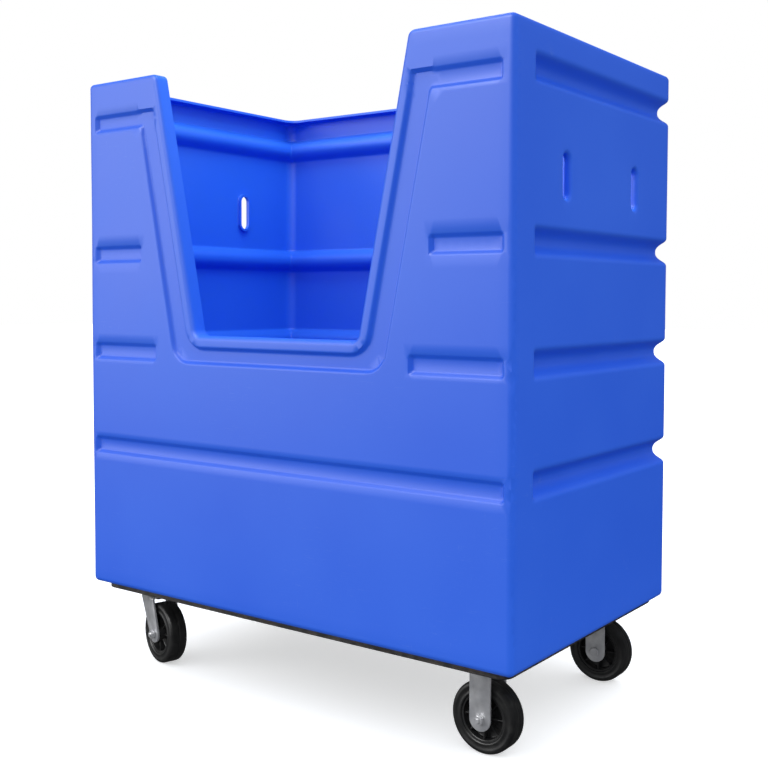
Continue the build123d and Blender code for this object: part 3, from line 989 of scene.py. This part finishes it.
        result = geometry.delaunay_2d_cdt([Vector(p) for p in flat], edges, [], 0, 1e-7)
        places, _, faces, sources = result[:4]
        sheet = bmesh.new()
        verts: list[Vert | None] = [None] * len(places)
        found: dict[int, Vert] = {}

        def vertex(index: int) -> Vert:
            """The 3-D vertex of one flat point, made when first used."""
            if verts[index] is None:
                place = places[index]
                verts[index] = sheet.verts.new(self.surface(place[0], place[1])[0])
                for source in sources[index]:
                    found[source] = verts[index]
            return verts[index]

        for face in faces:
            middle = sum((places[i] for i in face), Vector((0, 0))) / len(face)
            if self.on_wall(middle[0], middle[1]):
                sheet.faces.new([vertex(i) for i in reversed(face)])
        self.sweep_rim(sheet, [found[i] for i in top_ids], top_edge)
        for ids, loop in zip(slot_ids, slots):
            self.sweep_slot(sheet, [found[i] for i in ids], loop)
        self.sweep_floor(sheet, [found[i] for i in bottom_ids], bottom_u, bottom)
        bmesh.ops.remove_doubles(sheet, verts=sheet.verts, dist=0.02 * MM)
        bmesh.ops.recalc_face_normals(sheet, faces=sheet.faces)
        back = max(sheet.faces, key=lambda f: f.calc_center_median().y)
        if back.normal.y < 0:
            bmesh.ops.reverse_faces(sheet, faces=sheet.faces)
        return sheet

    @staticmethod
    def join_rows(sheet: Builder, rows: Sequence[Sequence[Vert]], closed: bool = False,
                  turned_over: bool = False) -> None:
        """Join rows of vertices with quads.

        Args:
            sheet: where the faces go.
            rows: rows of equal length, each joined to the next.
            closed: whether a row's end is joined to its start.
            turned_over: whether the faces are wound the other way.
        """
        for lower, upper in zip(rows, rows[1:]):
            if turned_over:
                lower, upper = upper, lower
            count = len(lower)
            for i in range(count if closed else count - 1):
                j = (i + 1) % count
                sheet.faces.new((lower[i], lower[j], upper[j], upper[i]))

    def inner_rim(self, u: float, inset: float, corner: float) -> Vector | None:
        """Place on the rim near a corner, where the rim is rounded to its own radius.

        Args:
            u: distance round the outline.
            inset: how far in from the outline.
            corner: the rim's radius there.
        Returns:
            The place, or None away from the corners.
        """
        for start, end, radius, front in (
            (self.half_front, self.end_start, self.front_corner, True),
            (self.back_corner_start, self.back_start, self.back_corner, False),
        ):
            run = inset + corner - radius
            if start - run < abs(u) < end + run:
                angle = (abs(u) - start + run) / (end - start + 2 * run) * math.pi / 2
                ahead, aside = (math.sin(angle), math.cos(angle))[::1 if front else -1]
                x = self.length / 2 - inset - corner * (1 - ahead)
                y = self.width / 2 - inset - corner * (1 - aside)
                return Vector((math.copysign(x, u), -y if front else y, self.top))
        return None

    def sweep_rim(self, sheet: Builder, start: Sequence[Vert],
                  line: Sequence[tuple[float, float, Vector]]) -> None:
        """Carry the wall's top edge over the bend and into the rim.

        Args:
            sheet: the sheet.
            start: vertices of the bend line.
            line: the bend line's points, as top_edge gives them.
        """
        rows = [list(start)]
        for ahead, inward in quarter_bend(self.rim_bend, self.bend_steps):
            rows.append([sheet.verts.new(v.co + way * ahead - self.outline(u, drop)[1] * inward)
                         for v, (u, drop, way) in zip(start, line)])
        for share in (0.5, 1.0):
            inset = self.rim_bend + (self.rim_reach - self.rim_bend) * share
            row = []
            for v, (u, drop, way) in zip(start, line):
                place = v.co + way * self.rim_bend - self.outline(u, drop)[1] * inset
                if drop <= self.rim_bend + 1e-6:
                    rounded = self.inner_rim(u, inset, self.rim_corner * share)
                    if rounded is not None:
                        place.xy = rounded.xy
                row.append(sheet.verts.new(place))
            rows.append(row)
        self.join_rows(sheet, rows)

    def sweep_slot(self, sheet: Builder, start: Sequence[Vert],
                   line: Sequence[EdgePoint]) -> None:
        """Turn the wall in round a hand slot.

        Args:
            sheet: the sheet.
            start: vertices of the slot's bend line.
            line: its points, as slot_edges gives them.
        """
        rows = [list(start)]
        travel = quarter_bend(self.slot_bend, self.slot_steps)
        for ahead, inward in [*travel, (self.slot_bend, self.slot_collar)]:
            row = []
            for v, (u, drop, across, down) in zip(start, line):
                way = Vector((0, across if u > 0 else -across, -down))
                row.append(sheet.verts.new(v.co + way * ahead - self.outline(u, drop)[1] * inward))
            rows.append(row)
        self.join_rows(sheet, rows, closed=True)

    def sweep_floor(self, sheet: Builder, start: Sequence[Vert], line: Sequence[float],
                    drop: float) -> None:
        """Round the walls under into the floor, and close the floor.

        Args:
            sheet: the sheet.
            start: vertices of the walls' lower edge.
            line: u of each of them.
            drop: how far down that edge is.
        """
        rows = [list(start)]
        for fall, inward in quarter_bend(self.floor_edge, self.bend_steps):
            down = Vector((0, 0, -fall))
            rows.append([sheet.verts.new(v.co + down - self.outline(u, drop)[1] * inward)
                         for v, u in zip(start, line)])
        self.join_rows(sheet, rows, turned_over=True)
        last = rows[-1]
        for low in range(1, len(last) // 2):
            corners = (last[low], last[low + 1], last[-2 - low], last[-1 - low])
            unique = list(dict.fromkeys(corners))
            if len(unique) > 2:
                sheet.faces.new(unique)

    def build(self, finishes: Finishes) -> None:
        """Make the tub, dress it and let it stand for its CAD node."""
        piece = new_object("moulded_tub", mesh_from(self.build_sheet(), "moulded_tub"))
        shell = piece.modifiers.new("wall", "SOLIDIFY")
        shell.thickness, shell.offset, shell.use_even_offset = self.wall, -1.0, True
        bake_modifiers(piece)
        shade(piece.data, 42)
        finishes.hand_over(piece, Slot.BLUE_POLYETHYLENE, "root", "tub")
        log.info("tub: %d faces", len(piece.data.polygons))


# ---------------------------------------------------------------- geometry node trees

class FixingTree:
    """Geometry node tree that puts a pattern piece on every point of a layout mesh."""

    def __init__(self, name: str, joins_layout: bool = False) -> None:
        """Build the tree.

        Args:
            name: name of the tree.
            joins_layout: whether the layout mesh is itself part of the result.
        """
        tree = bpy.data.node_groups.new(name, "GeometryNodeTree")
        face = tree.interface
        self.sockets = {}
        for label, kind in (("Geometry", "Geometry"), ("Points", "Object"), ("Pattern", "Object"),
                            ("Size", "Float"), ("Turn range", "Float"), ("Finish", "Material")):
            self.sockets[label] = face.new_socket(label, in_out="INPUT",
                                                  socket_type=f"NodeSocket{kind}")
        face.new_socket("Geometry", in_out="OUTPUT", socket_type="NodeSocketGeometry")
        nodes = Nodes(tree)
        given, result = nodes.add("NodeGroupInput"), nodes.add("NodeGroupOutput")
        layout = nodes.add("GeometryNodeObjectInfo", Object=given.outputs["Points"])
        pattern = nodes.add("GeometryNodeObjectInfo", Object=given.outputs["Pattern"])
        turn = nodes.add("FunctionNodeRandomValue", {"data_type": "FLOAT"})
        turn.inputs[2].default_value = 0.0
        nodes.feed(turn.inputs[3], given.outputs["Turn range"])
        turn.inputs["Seed"].default_value = 7
        spin = nodes.add("ShaderNodeCombineXYZ", Z=turn.outputs[1])
        facing = nodes.add("GeometryNodeInputNamedAttribute", {"data_type": "FLOAT_VECTOR"},
                           Name="facing")
        aim = nodes.add("FunctionNodeAlignEulerToVector", {"axis": "X"}, Vector=facing.outputs[0])
        placed = nodes.add("GeometryNodeInstanceOnPoints", Points=layout.outputs["Geometry"],
                           Instance=pattern.outputs["Geometry"], Rotation=aim.outputs[0],
                           Scale=given.outputs["Size"])
        turned_round = nodes.add("GeometryNodeRotateInstances", Instances=placed.outputs[0],
                                 Rotation=spin.outputs[0])
        real = nodes.add("GeometryNodeRealizeInstances", Geometry=turned_round.outputs[0])
        whole = real.outputs[0]
        if joins_layout:
            join = nodes.add("GeometryNodeJoinGeometry")
            nodes.feed(join.inputs[0], given.outputs["Geometry"])
            nodes.feed(join.inputs[0], whole)
            whole = join.outputs[0]
        painted = nodes.add("GeometryNodeSetMaterial", Geometry=whole,
                            Material=given.outputs["Finish"])
        nodes.feed(result.inputs[0], painted.outputs[0])
        self.tree = tree

    def run(self, piece: Piece, points: Piece, pattern: Piece, finish: Material,
            turn_range: float = 0.0) -> None:
        """Run the tree on a piece and leave it a plain mesh.

        Args:
            piece: the piece that receives the result.
            points: object whose vertices are the places.
            pattern: object that is repeated.
            finish: material of the result.
            turn_range: random turn of each copy about its own axis, in radians.
        """
        modifier = piece.modifiers.new("fixings", "NODES")
        modifier.node_group = self.tree
        values = {"Points": points, "Pattern": pattern, "Size": 1.0,
                  "Turn range": turn_range, "Finish": finish}
        for label, value in values.items():
            modifier[self.sockets[label].identifier] = value
        bake_modifiers(piece)
        for helper in (points, pattern):
            bpy.data.objects.remove(helper)


def layout_object(places: Sequence[Vector], facings: Sequence[Vector]) -> Piece:
    """A mesh of bare points, each with the way its copy faces."""
    mesh = bpy.data.meshes.new("layout")
    mesh.from_pydata([tuple(p) for p in places], [], [])
    facing = mesh.attributes.new("facing", "FLOAT_VECTOR", "POINT")
    for item, way in zip(facing.data, facings):
        item.vector = way
    return new_object("layout", mesh)


# ---------------------------------------------------------------- fasteners

def hex_prism(name: str, radius: float, low: float, high: float, bore: float) -> Mesh:
    """Hexagon with chamfered corners, as on bolt heads and nuts.

    Args:
        name: name of the mesh.
        radius: over the corners, halved.
        low: lower face.
        high: upper face.
        bore: radius of the hole, or of the shank that fills it.
    Returns:
        The prism about the Z axis.
    """
    chamfer, steps = 0.9 * MM, 48
    flat = radius * math.cos(math.pi / 6)
    turns = [TURN * k / steps for k in range(steps)]
    edges = [flat / math.cos((a + math.pi / 6) % (math.pi / 3) - math.pi / 6) for a in turns]
    builder = bmesh.new()
    rings = []
    for z, most in ((low, flat), (low + chamfer, radius), (high - chamfer, radius), (high, flat),
                    (high, bore), (low, bore)):
        radii = [min(edge, most) for edge in edges]
        rings.append([builder.verts.new((r * math.cos(a), r * math.sin(a), z))
                      for r, a in zip(radii, turns)])
    for index, ring in enumerate(rings):
        following = rings[(index + 1) % len(rings)]
        for k in range(steps):
            j = (k + 1) % steps
            builder.faces.new((ring[k], ring[j], following[j], following[k]))
    bmesh.ops.recalc_face_normals(builder, faces=builder.faces)
    return mesh_from(builder, name)


def threaded(radius: float, depth: float, start: float, end: float) -> list[Point2]:
    """Crests and roots of a thread from one height to another."""
    turns = math.ceil((end - start) / THREAD_PITCH - 1e-9)
    heights = [start + THREAD_PITCH * k for k in range(turns)]
    return [point for z in heights
            for point in ((radius, z), (radius - depth, z + THREAD_PITCH / 2))]


@dataclass(frozen=True)
class Fasteners:
    """Round-head bolts through the tub's floor and the deck, with their washers and nuts."""

    head_radius: float = 11 * MM
    head_height: float = 4.5 * MM
    shank: float = 5 * MM
    washer: float = 16 * MM
    washer_height: float = 2 * MM
    nut: float = 9.8 * MM
    nut_height: float = 8 * MM
    nut_bore: float = 5.05 * MM
    thread_depth: float = 0.45 * MM
    thread_start: float = 0.8 * MM
    thread_end: float = 24 * MM
    arris: float = 0.35 * MM
    washer_bore: float = 5.25 * MM

    def places(self, node: str) -> list[Vector]:
        """Where each separate fastener of a CAD node stands.

        Args:
            node: name of the node.
        Returns:
            The centre of each one's lowest level, in order of x and then y.
        """
        builder = bmesh.new()
        builder.from_mesh(frame["nodes"][node].data)
        bmesh.ops.remove_doubles(builder, verts=builder.verts, dist=0.01 * MM)
        left, found = set(builder.verts), []
        while left:
            stack, island = [left.pop()], []
            while stack:
                vert = stack.pop()
                island.append(vert.co.copy())
                for edge in vert.link_edges:
                    other = edge.other_vert(vert)
                    if other in left:
                        left.discard(other)
                        stack.append(other)
            low = [min(c[i] for c in island) for i in range(3)]
            high = [max(c[i] for c in island) for i in range(3)]
            found.append(Vector(((low[0] + high[0]) / 2, (low[1] + high[1]) / 2, low[2])))
        builder.free()
        return sorted(found, key=lambda p: (round(p.x, 3), round(p.y, 3)))

    def bolt_pattern(self, length: float) -> Piece:
        """One bolt standing on z = 0 at its lower end."""
        head_low, lip = length - self.head_height, 0.4 * MM
        profile = [(AXIS_GAP, 0.0), (self.shank - self.thread_start, 0.0)]
        profile += threaded(self.shank, self.thread_depth, self.thread_start, self.thread_end)
        profile += [(self.shank, profile[-1][1] + THREAD_PITCH / 2), (self.shank, head_low),
                    (self.head_radius - 0.3 * MM, head_low), (self.head_radius, head_low + lip)]
        for k in range(1, 8):
            angle = math.pi / 2 * k / 8
            rise = (self.head_height - lip) * math.sin(angle)
            profile.append((self.head_radius * math.cos(angle), head_low + lip + rise))
        profile.append((AXIS_GAP, length))
        return new_object("bolt_pattern", turned("bolt_pattern", profile, 20, UNMOVED))

    def washer_pattern(self) -> Piece:
        """One washer standing on z = 0."""
        e, bore, top = self.arris, self.washer_bore, self.washer_height
        profile = [(bore, 0), (self.washer - e, 0), (self.washer, e), (self.washer, top - e),
                   (self.washer - e, top), (bore, top)]
        return new_object("washer_pattern", turned("washer_pattern", profile, 40, UNMOVED))

    def nut_pattern(self) -> Piece:
        """One nut standing on z = 0."""
        return new_object("nut_pattern", hex_prism("nut_pattern", self.nut, 0.0, self.nut_height,
                                                   self.nut_bore))

    def build(self, finishes: Finishes, tree: FixingTree) -> None:
        """Make every bolt, washer and nut of the floor."""
        groups = ["deck"] + [f"caster_{place.value}" for place in Place]
        for group in groups:
            low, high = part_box(f"{group}_bolts")
            patterns = {"bolts": self.bolt_pattern(high.z - low.z),
                        "washers": self.washer_pattern(), "nuts": self.nut_pattern()}
            for kind, pattern in patterns.items():
                node = f"{group}_{kind}"
                spots = self.places(node)
                piece = new_object(f"{node}_set", bpy.data.meshes.new(node))
                points = layout_object(spots, [Vector((1, 0, 0))] * len(spots))
                tree.run(piece, points, pattern, finishes.by_slot[Slot.ZINC_STEEL.value], TURN)
                shade(piece.data, HARDWARE_SHARP)
                finishes.hand_over(piece, Slot.ZINC_STEEL, "root", node)
        log.info("fasteners: %d groups", len(groups))


# ---------------------------------------------------------------- casters

class Place(Enum):
    """Where a caster is."""

    RIGHT_FRONT = "right_front"
    RIGHT_BACK = "right_back"
    LEFT_FRONT = "left_front"
    LEFT_BACK = "left_back"


@dataclass(frozen=True)
class Caster:
    """One caster: wheel, axle, and either a fixed fork or a swivel head and yoke."""

    place: Place
    radius: float = 76.2 * MM
    half: float = 24 * MM
    shoulder: float = 9 * MM
    core: float = 52 * MM
    rim_half: float = 21 * MM
    rim: float = 5 * MM
    web_half: float = 4 * MM
    hub: float = 19 * MM
    hub_half: float = 27 * MM
    bore: float = 14 * MM
    sleeve: float = 9.05 * MM
    rib_half: float = 16 * MM
    rib_count: int = 8
    leg_face: float = 34 * MM
    axle: float = 6 * MM
    axle_hex: float = 11 * MM
    axle_head: float = 7.5 * MM
    axle_nut: float = 10 * MM
    axle_tail: float = 4 * MM
    easing: float = 0.7 * MM
    ball: float = 4 * MM
    ball_pitch: float = 25 * MM
    ball_count: int = 18

    @property
    def tag(self) -> str:
        """The caster's name in the frame."""
        return self.place.value

    @property
    def swivels(self) -> bool:
        """Whether this caster turns about a kingpin."""
        return f"{self.tag}_swivel" in {joint["name"] for joint in frame["joints"]}

    @property
    def wheel_body(self) -> str:
        """Body that turns with the wheel."""
        return f"{self.tag}_wheel"

    @property
    def fork_body(self) -> str:
        """Body that holds the axle."""
        return f"{self.tag}_yoke" if self.swivels else "root"

    def wheel_frame(self) -> Matrix:
        """Matrix with local Z along the axle, towards its nut, from the wheel's centre."""
        joint = next(j for j in frame["joints"] if j["name"] == f"{self.tag}_roll")
        axis = Vector(joint["axis"]).normalized()
        centre = Vector(joint["pos_m"])
        low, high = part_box(f"axle_nut_{self.tag}")
        if ((low + high) / 2 - centre).dot(axis) < 0:
            axis = -axis
        up = Vector((0, 0, 1))
        along = up.cross(axis).normalized()
        turn = Matrix((along, up, axis)).transposed().to_4x4()
        return Matrix.Translation(centre) @ turn

    def build_tyre(self, finishes: Finishes) -> None:
        """Solid tyre with rounded shoulders, a dished sidewall and a moulding line."""
        r, h, s = self.radius, self.half, self.shoulder
        bead = ((0.1, 1.6), (1.2, 0.5), (2.8, 0), (4.2, 0.3), (5.4, 1.1), (9, 1.4), (12, 0.8))
        side = [(self.core + out * MM, h - inward * MM) for out, inward in bead]
        side.append((r - s - 0.8 * MM, h - 0.1 * MM))
        tread = [(r, h - s - 3 * MM), (r, 6 * MM), (r, 0.9 * MM), (r - 0.35 * MM, 0.45 * MM)]
        profile = mirrored(side + arc((r - s, h - s), s, 90, 0, 8) + tread)
        mesh = turned("tyre", profile, 112, self.wheel_frame())
        piece = new_object(f"moulded_tyre_{self.tag}", mesh)
        shade(mesh, 50)
        finishes.hand_over(piece, Slot.BLACK_TYRE, self.wheel_body, f"tyre_{self.tag}")

    def rib_pattern(self) -> Piece:
        """One drafted rib from the hub out to the rim, along local X."""
        start, end = self.hub - 0.8 * MM, self.core - self.rim + 1.5 * MM
        builder = bmesh.new()
        for side in (-1, 1):
            root, top = self.web_half - 0.6 * MM, self.rib_half
            corners = [(x, y * w, side * z) for z, w in ((root, 2.3 * MM), (top, 1.6 * MM))
                       for x, y in ((start, -1), (end, -1), (end, 1), (start, 1))]
            verts = [builder.verts.new(c) for c in corners]
            for quad in ("0123", "4567", "0154", "1265", "2376", "3047"):
                builder.faces.new([verts[int(i)] for i in quad])
        bmesh.ops.recalc_face_normals(builder, faces=builder.faces)
        long_edges = [e for e in builder.edges
                      if abs(e.verts[0].co.x - e.verts[1].co.x) > 5 * MM
                      and abs(e.verts[0].co.z) > self.rib_half - 0.1 * MM]
        bmesh.ops.bevel(builder, geom=long_edges, offset=0.8 * MM, segments=3, profile=0.5,
                        affect="EDGES")
        return new_object("rib_pattern", mesh_from(builder, "rib_pattern"))

    def build_core(self, finishes: Finishes, tree: FixingTree) -> None:
        """Moulded wheel centre: rim, web and hub turned as one, with ribs between them."""
        inside, e, fillet = self.core - self.rim, 0.8 * MM, 3.4 * MM
        level = self.web_half + fillet
        upper = [(self.bore, self.hub_half), (self.hub - e, self.hub_half),
                 (self.hub, self.hub_half - e), (self.hub + 0.6 * MM, self.web_half + 4 * MM)]
        upper += arc((self.hub + 4 * MM, level), fillet, 180, 270, 4)
        upper += arc((inside - 4 * MM, level), fillet, 270, 360, 4)
        upper += [(inside, self.rim_half - e), (inside + e, self.rim_half),
                  (self.core - e, self.rim_half), (self.core, self.rim_half - e)]
        piece = new_object(f"ribbed_core_{self.tag}",
                           turned("core", mirrored(upper), 72, UNMOVED))
        ways = round_ways(self.rib_count)
        points = layout_object([Vector((0, 0, 0))] * self.rib_count, ways)
        tree.run(piece, points, self.rib_pattern(), finishes.by_slot[Slot.DARK_CORE.value])
        piece.data.transform(self.wheel_frame())
        shade(piece.data, SHEET_SHARP)
        finishes.hand_over(piece, Slot.DARK_CORE, self.wheel_body, f"wheel_core_{self.tag}")

    def build_bearing(self, finishes: Finishes) -> None:
        """Roller bearing: outer race, recessed cage and inner race."""
        b, s, h, e = self.bore - 0.05 * MM, self.sleeve, self.hub_half, 0.3 * MM
        cage = h - 0.9 * MM
        upper = [(s, h - e), (s + e, h), (s + 1.5 * MM, h), (s + 1.7 * MM, cage),
                 (b - 1.5 * MM, cage), (b - 1.3 * MM, h), (b - e, h), (b, h - e)]
        piece = new_object(f"roller_bearing_{self.tag}",
                           turned("bearing", mirrored(upper), 56, self.wheel_frame()))
        shade(piece.data, HARDWARE_SHARP)
        finishes.hand_over(piece, Slot.BEARING_STEEL, self.wheel_body,
                           f"wheel_bearing_{self.tag}")

    def build_axle(self, finishes: Finishes) -> None:
        """Axle bolt with a chamfered hexagon head, and its nut on the outside."""
        face, radius, depth = self.leg_face, self.axle, 0.5 * MM
        top, end = face + self.axle_nut, face + self.axle_nut + self.axle_tail
        shank = [(AXIS_GAP, 0.3 * MM - face - self.axle_head),
                 (radius, 0.3 * MM - face - self.axle_head), (radius, face - 2 * MM)]
        shank += threaded(radius, depth, face, end - 1.8 * MM)
        shank += [(radius - 0.3 * MM, end - 1.2 * MM), (radius - 1.3 * MM, end), (AXIS_GAP, end)]
        builder = bmesh.new()
        builder.from_mesh(hex_prism("axle_head", self.axle_hex, -face - self.axle_head, -face,
                                    radius - depth))
        builder.from_mesh(turned("axle_shank", shank, 40, UNMOVED))
        bolt = mesh_from(builder, "axle_bolt")
        nut = hex_prism("axle_nut", self.axle_hex, face, top, radius + 0.05 * MM)
        for kind, mesh in (("bolt", bolt), ("nut", nut)):
            mesh.transform(self.wheel_frame())
            piece = new_object(f"hex_axle_{kind}_{self.tag}", mesh)
            shade(mesh, HARDWARE_SHARP)
            finishes.hand_over(piece, Slot.ZINC_STEEL, self.fork_body, f"axle_{kind}_{self.tag}")

    def build_pressing(self, finishes: Finishes, node: str, name: str, body: str) -> None:
        """A folded or pressed steel part with its sheared edges eased."""
        piece = merged_copy(f"{node}_{self.tag}", f"{name}_{self.tag}")
        ease_edges(piece, self.easing)
        finishes.hand_over(piece, Slot.ZINC_STEEL, body, f"{node}_{self.tag}")

    def build_balls(self, finishes: Finishes, tree: FixingTree) -> None:
        """Ring of balls that the yoke turns on."""
        low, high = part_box(f"ball_ring_{self.tag}")
        centre = (low + high) / 2
        ways = round_ways(self.ball_count)
        points = layout_object([centre + way * self.ball_pitch for way in ways], ways)
        builder = bmesh.new()
        bmesh.ops.create_icosphere(builder, subdivisions=3, radius=self.ball)
        pattern = new_object("ball_pattern", mesh_from(builder, "ball_pattern"))
        piece = new_object(f"bearing_balls_{self.tag}", bpy.data.meshes.new("balls"))
        tree.run(piece, points, pattern, finishes.by_slot[Slot.BEARING_STEEL.value])
        piece.data.shade_smooth()
        finishes.hand_over(piece, Slot.BEARING_STEEL, "root", f"ball_ring_{self.tag}")

    def build(self, finishes: Finishes, fixing: FixingTree, ribs: FixingTree) -> None:
        """Make every piece of the caster.

        Args:
            finishes: the truck's finishes.
            fixing: tree that repeats a pattern on its own.
            ribs: tree that adds the pattern to the piece.
        """
        self.build_tyre(finishes)
        self.build_core(finishes, ribs)
        self.build_bearing(finishes)
        self.build_axle(finishes)
        kept = ["axle_sleeve", "thrust_washers"]
        if self.swivels:
            self.build_pressing(finishes, "swivel_plate", "pressed_top_plate", "root")
            self.build_pressing(finishes, "swivel_yoke", "folded_yoke", self.fork_body)
            self.build_balls(finishes, fixing)
            kept += ["kingpin", "kingpin_nut"]
        else:
            self.build_pressing(finishes, "rigid_fork", "folded_fork", "root")
        for node in kept:
            finishes.dress_node(f"{node}_{self.tag}", Slot.ZINC_STEEL)
        log.info("caster %s: %s", self.tag, "swivel" if self.swivels else "fixed")


@dataclass(frozen=True)
class Deck:
    """Plywood deck between the tub and the casters."""

    edge: float = 0.8 * MM

    def build(self, finishes: Finishes) -> None:
        """Make the deck with its arrises eased."""
        piece = merged_copy("deck", "plywood_deck")
        ease_edges(piece, self.edge)
        finishes.hand_over(piece, Slot.BLACK_PLYWOOD, "root", "deck")
        log.info("deck: %d faces", len(piece.data.polygons))


# ---------------------------------------------------------------- studio

@dataclass(frozen=True)
class Light:
    """One soft rectangular light that looks at the truck's middle."""

    name: str
    place: Triple
    size: Point2
    power: float
    glossy: bool = True
    diffuse: bool = True
    colour: Triple = (1.0, 1.0, 1.0)
    target: Triple = (0.0, 0.0, 0.9)

    def build(self) -> None:
        """Make the light."""
        data = bpy.data.lights.new(self.name, "AREA")
        data.color, data.energy = self.colour, self.power
        data.shape, data.size, data.size_y = "RECTANGLE", self.size[0], self.size[1]
        light = bpy.data.objects.new(self.name, data)
        light.location = self.place
        aim = Vector(self.target) - Vector(self.place)
        light.rotation_euler = aim.to_track_quat("-Z", "Y").to_euler()
        light.visible_camera, light.visible_glossy = False, self.glossy
        light.visible_diffuse = self.diffuse
        bpy.context.scene.collection.objects.link(light)


@dataclass(frozen=True)
class Studio:
    """Pale floor, soft light and the camera."""

    floor_half: float = 30.0
    floor_colour: Triple = (0.86, 0.86, 0.86)
    floor_glow: float = 0.5
    camera_place: Triple = (1.6943, -2.2504, 0.9496)
    camera_turn: Triple = (90.0, -0.15, 36.25)
    lens: float = 51.35
    sensor: float = 36.0
    shift: Point2 = (-0.0055, -0.1120)
    sky_colour: Triple = (0.93, 0.96, 1.0)
    sky_low: float = 0.38
    sky_high: float = 1.45
    sky_gloss: float = 0.04
    lights: tuple[Light, ...] = (
        Light("key", (-3.4, -3.9, 1.9), (2.6, 3.0), 45.0),
        Light("sheen", (-3.4, -3.9, 1.9), (2.6, 3.0), 190.0, diffuse=False),
        Light("over", (-0.2, -2.6, 3.3), (2.2, 1.2), 240.0, diffuse=False),
        Light("inside", (0.0, 0.0, 2.35), (1.0, 0.55), 17.0, glossy=False,
              colour=(1.0, 0.90, 0.60)),
    )

    def build_floor(self) -> None:
        """Large pale floor that the truck stands on."""
        mesh = bpy.data.meshes.new("studio_floor")
        h = self.floor_half
        mesh.from_pydata([(-h, -h, 0), (h, -h, 0), (h, h, 0), (-h, h, 0)], [], [(0, 1, 2, 3)])
        floor = new_object("studio_floor", mesh)
        material = bpy.data.materials.new("pale_floor")
        material.use_nodes = True
        skin = material.node_tree.nodes["Principled BSDF"]
        values = {"Base Color": (*self.floor_colour, 1), "Roughness": 0.9,
                  "Specular IOR Level": 0.1, "Emission Color": (1, 1, 1, 1),
                  "Emission Strength": self.floor_glow}
        for label, value in values.items():
            skin.inputs[label].default_value = value
        dress(floor, material)
        floor.visible_glossy = floor.visible_diffuse = False

    def build_sky(self) -> None:
        """Background: white to look at, brighter from above as light, faint in reflections."""
        world = bpy.data.worlds.new("studio")
        bpy.context.scene.world = world
        world.use_nodes = True
        world.node_tree.nodes.clear()
        nodes = Nodes(world.node_tree)
        seen = nodes.add("ShaderNodeBackground", Color=(1, 1, 1, 1), Strength=1.0)
        height = nodes.split(nodes.add("ShaderNodeTexCoord").outputs["Generated"])[2]
        strength = nodes.ramp(height, -0.5, 0.6, self.sky_low, self.sky_high)
        lit = nodes.add("ShaderNodeBackground", Color=(*self.sky_colour, 1), Strength=strength)
        mirrored_sky = nodes.add("ShaderNodeBackground", Color=(1, 1, 1, 1),
                                 Strength=self.sky_gloss)
        path = nodes.add("ShaderNodeLightPath").outputs
        shown = lit
        for ray, other in (("Is Glossy Ray", mirrored_sky), ("Is Camera Ray", seen)):
            mix = nodes.add("ShaderNodeMixShader", Fac=path[ray])
            nodes.feed(mix.inputs[1], shown.outputs[0])
            nodes.feed(mix.inputs[2], other.outputs[0])
            shown = mix
        nodes.add("ShaderNodeOutputWorld", Surface=shown.outputs[0])

    def build_camera(self) -> None:
        """The camera."""
        data = bpy.data.cameras.new("camera")
        data.lens, data.sensor_width = self.lens, self.sensor
        data.shift_x, data.shift_y = self.shift
        data.clip_end = 200.0
        camera = bpy.data.objects.new("camera", data)
        camera.location = self.camera_place
        camera.rotation_euler = [math.radians(a) for a in self.camera_turn]
        bpy.context.scene.collection.objects.link(camera)
        bpy.context.scene.camera = camera

    def build(self) -> None:
        """Make the floor, the lights, the background and the camera."""
        self.build_floor()
        for light in self.lights:
            light.build()
        self.build_sky()
        self.build_camera()
        view = bpy.context.scene.view_settings
        view.view_transform, view.look = "Standard", "None"


def main() -> None:
    """Build the truck from the top down, then the studio round it."""
    logging.basicConfig(level=logging.INFO, format="%(name)s: %(message)s")
    finishes = Finishes()
    fixing = FixingTree("place_fixings")
    ribs = FixingTree("ribs_round_a_hub", joins_layout=True)
    Tub().build(finishes)
    Deck().build(finishes)
    Fasteners().build(finishes, fixing)
    for place in Place:
        Caster(place).build(finishes, fixing, ribs)
    Studio().build()


if __name__ == "__main__":
    main()
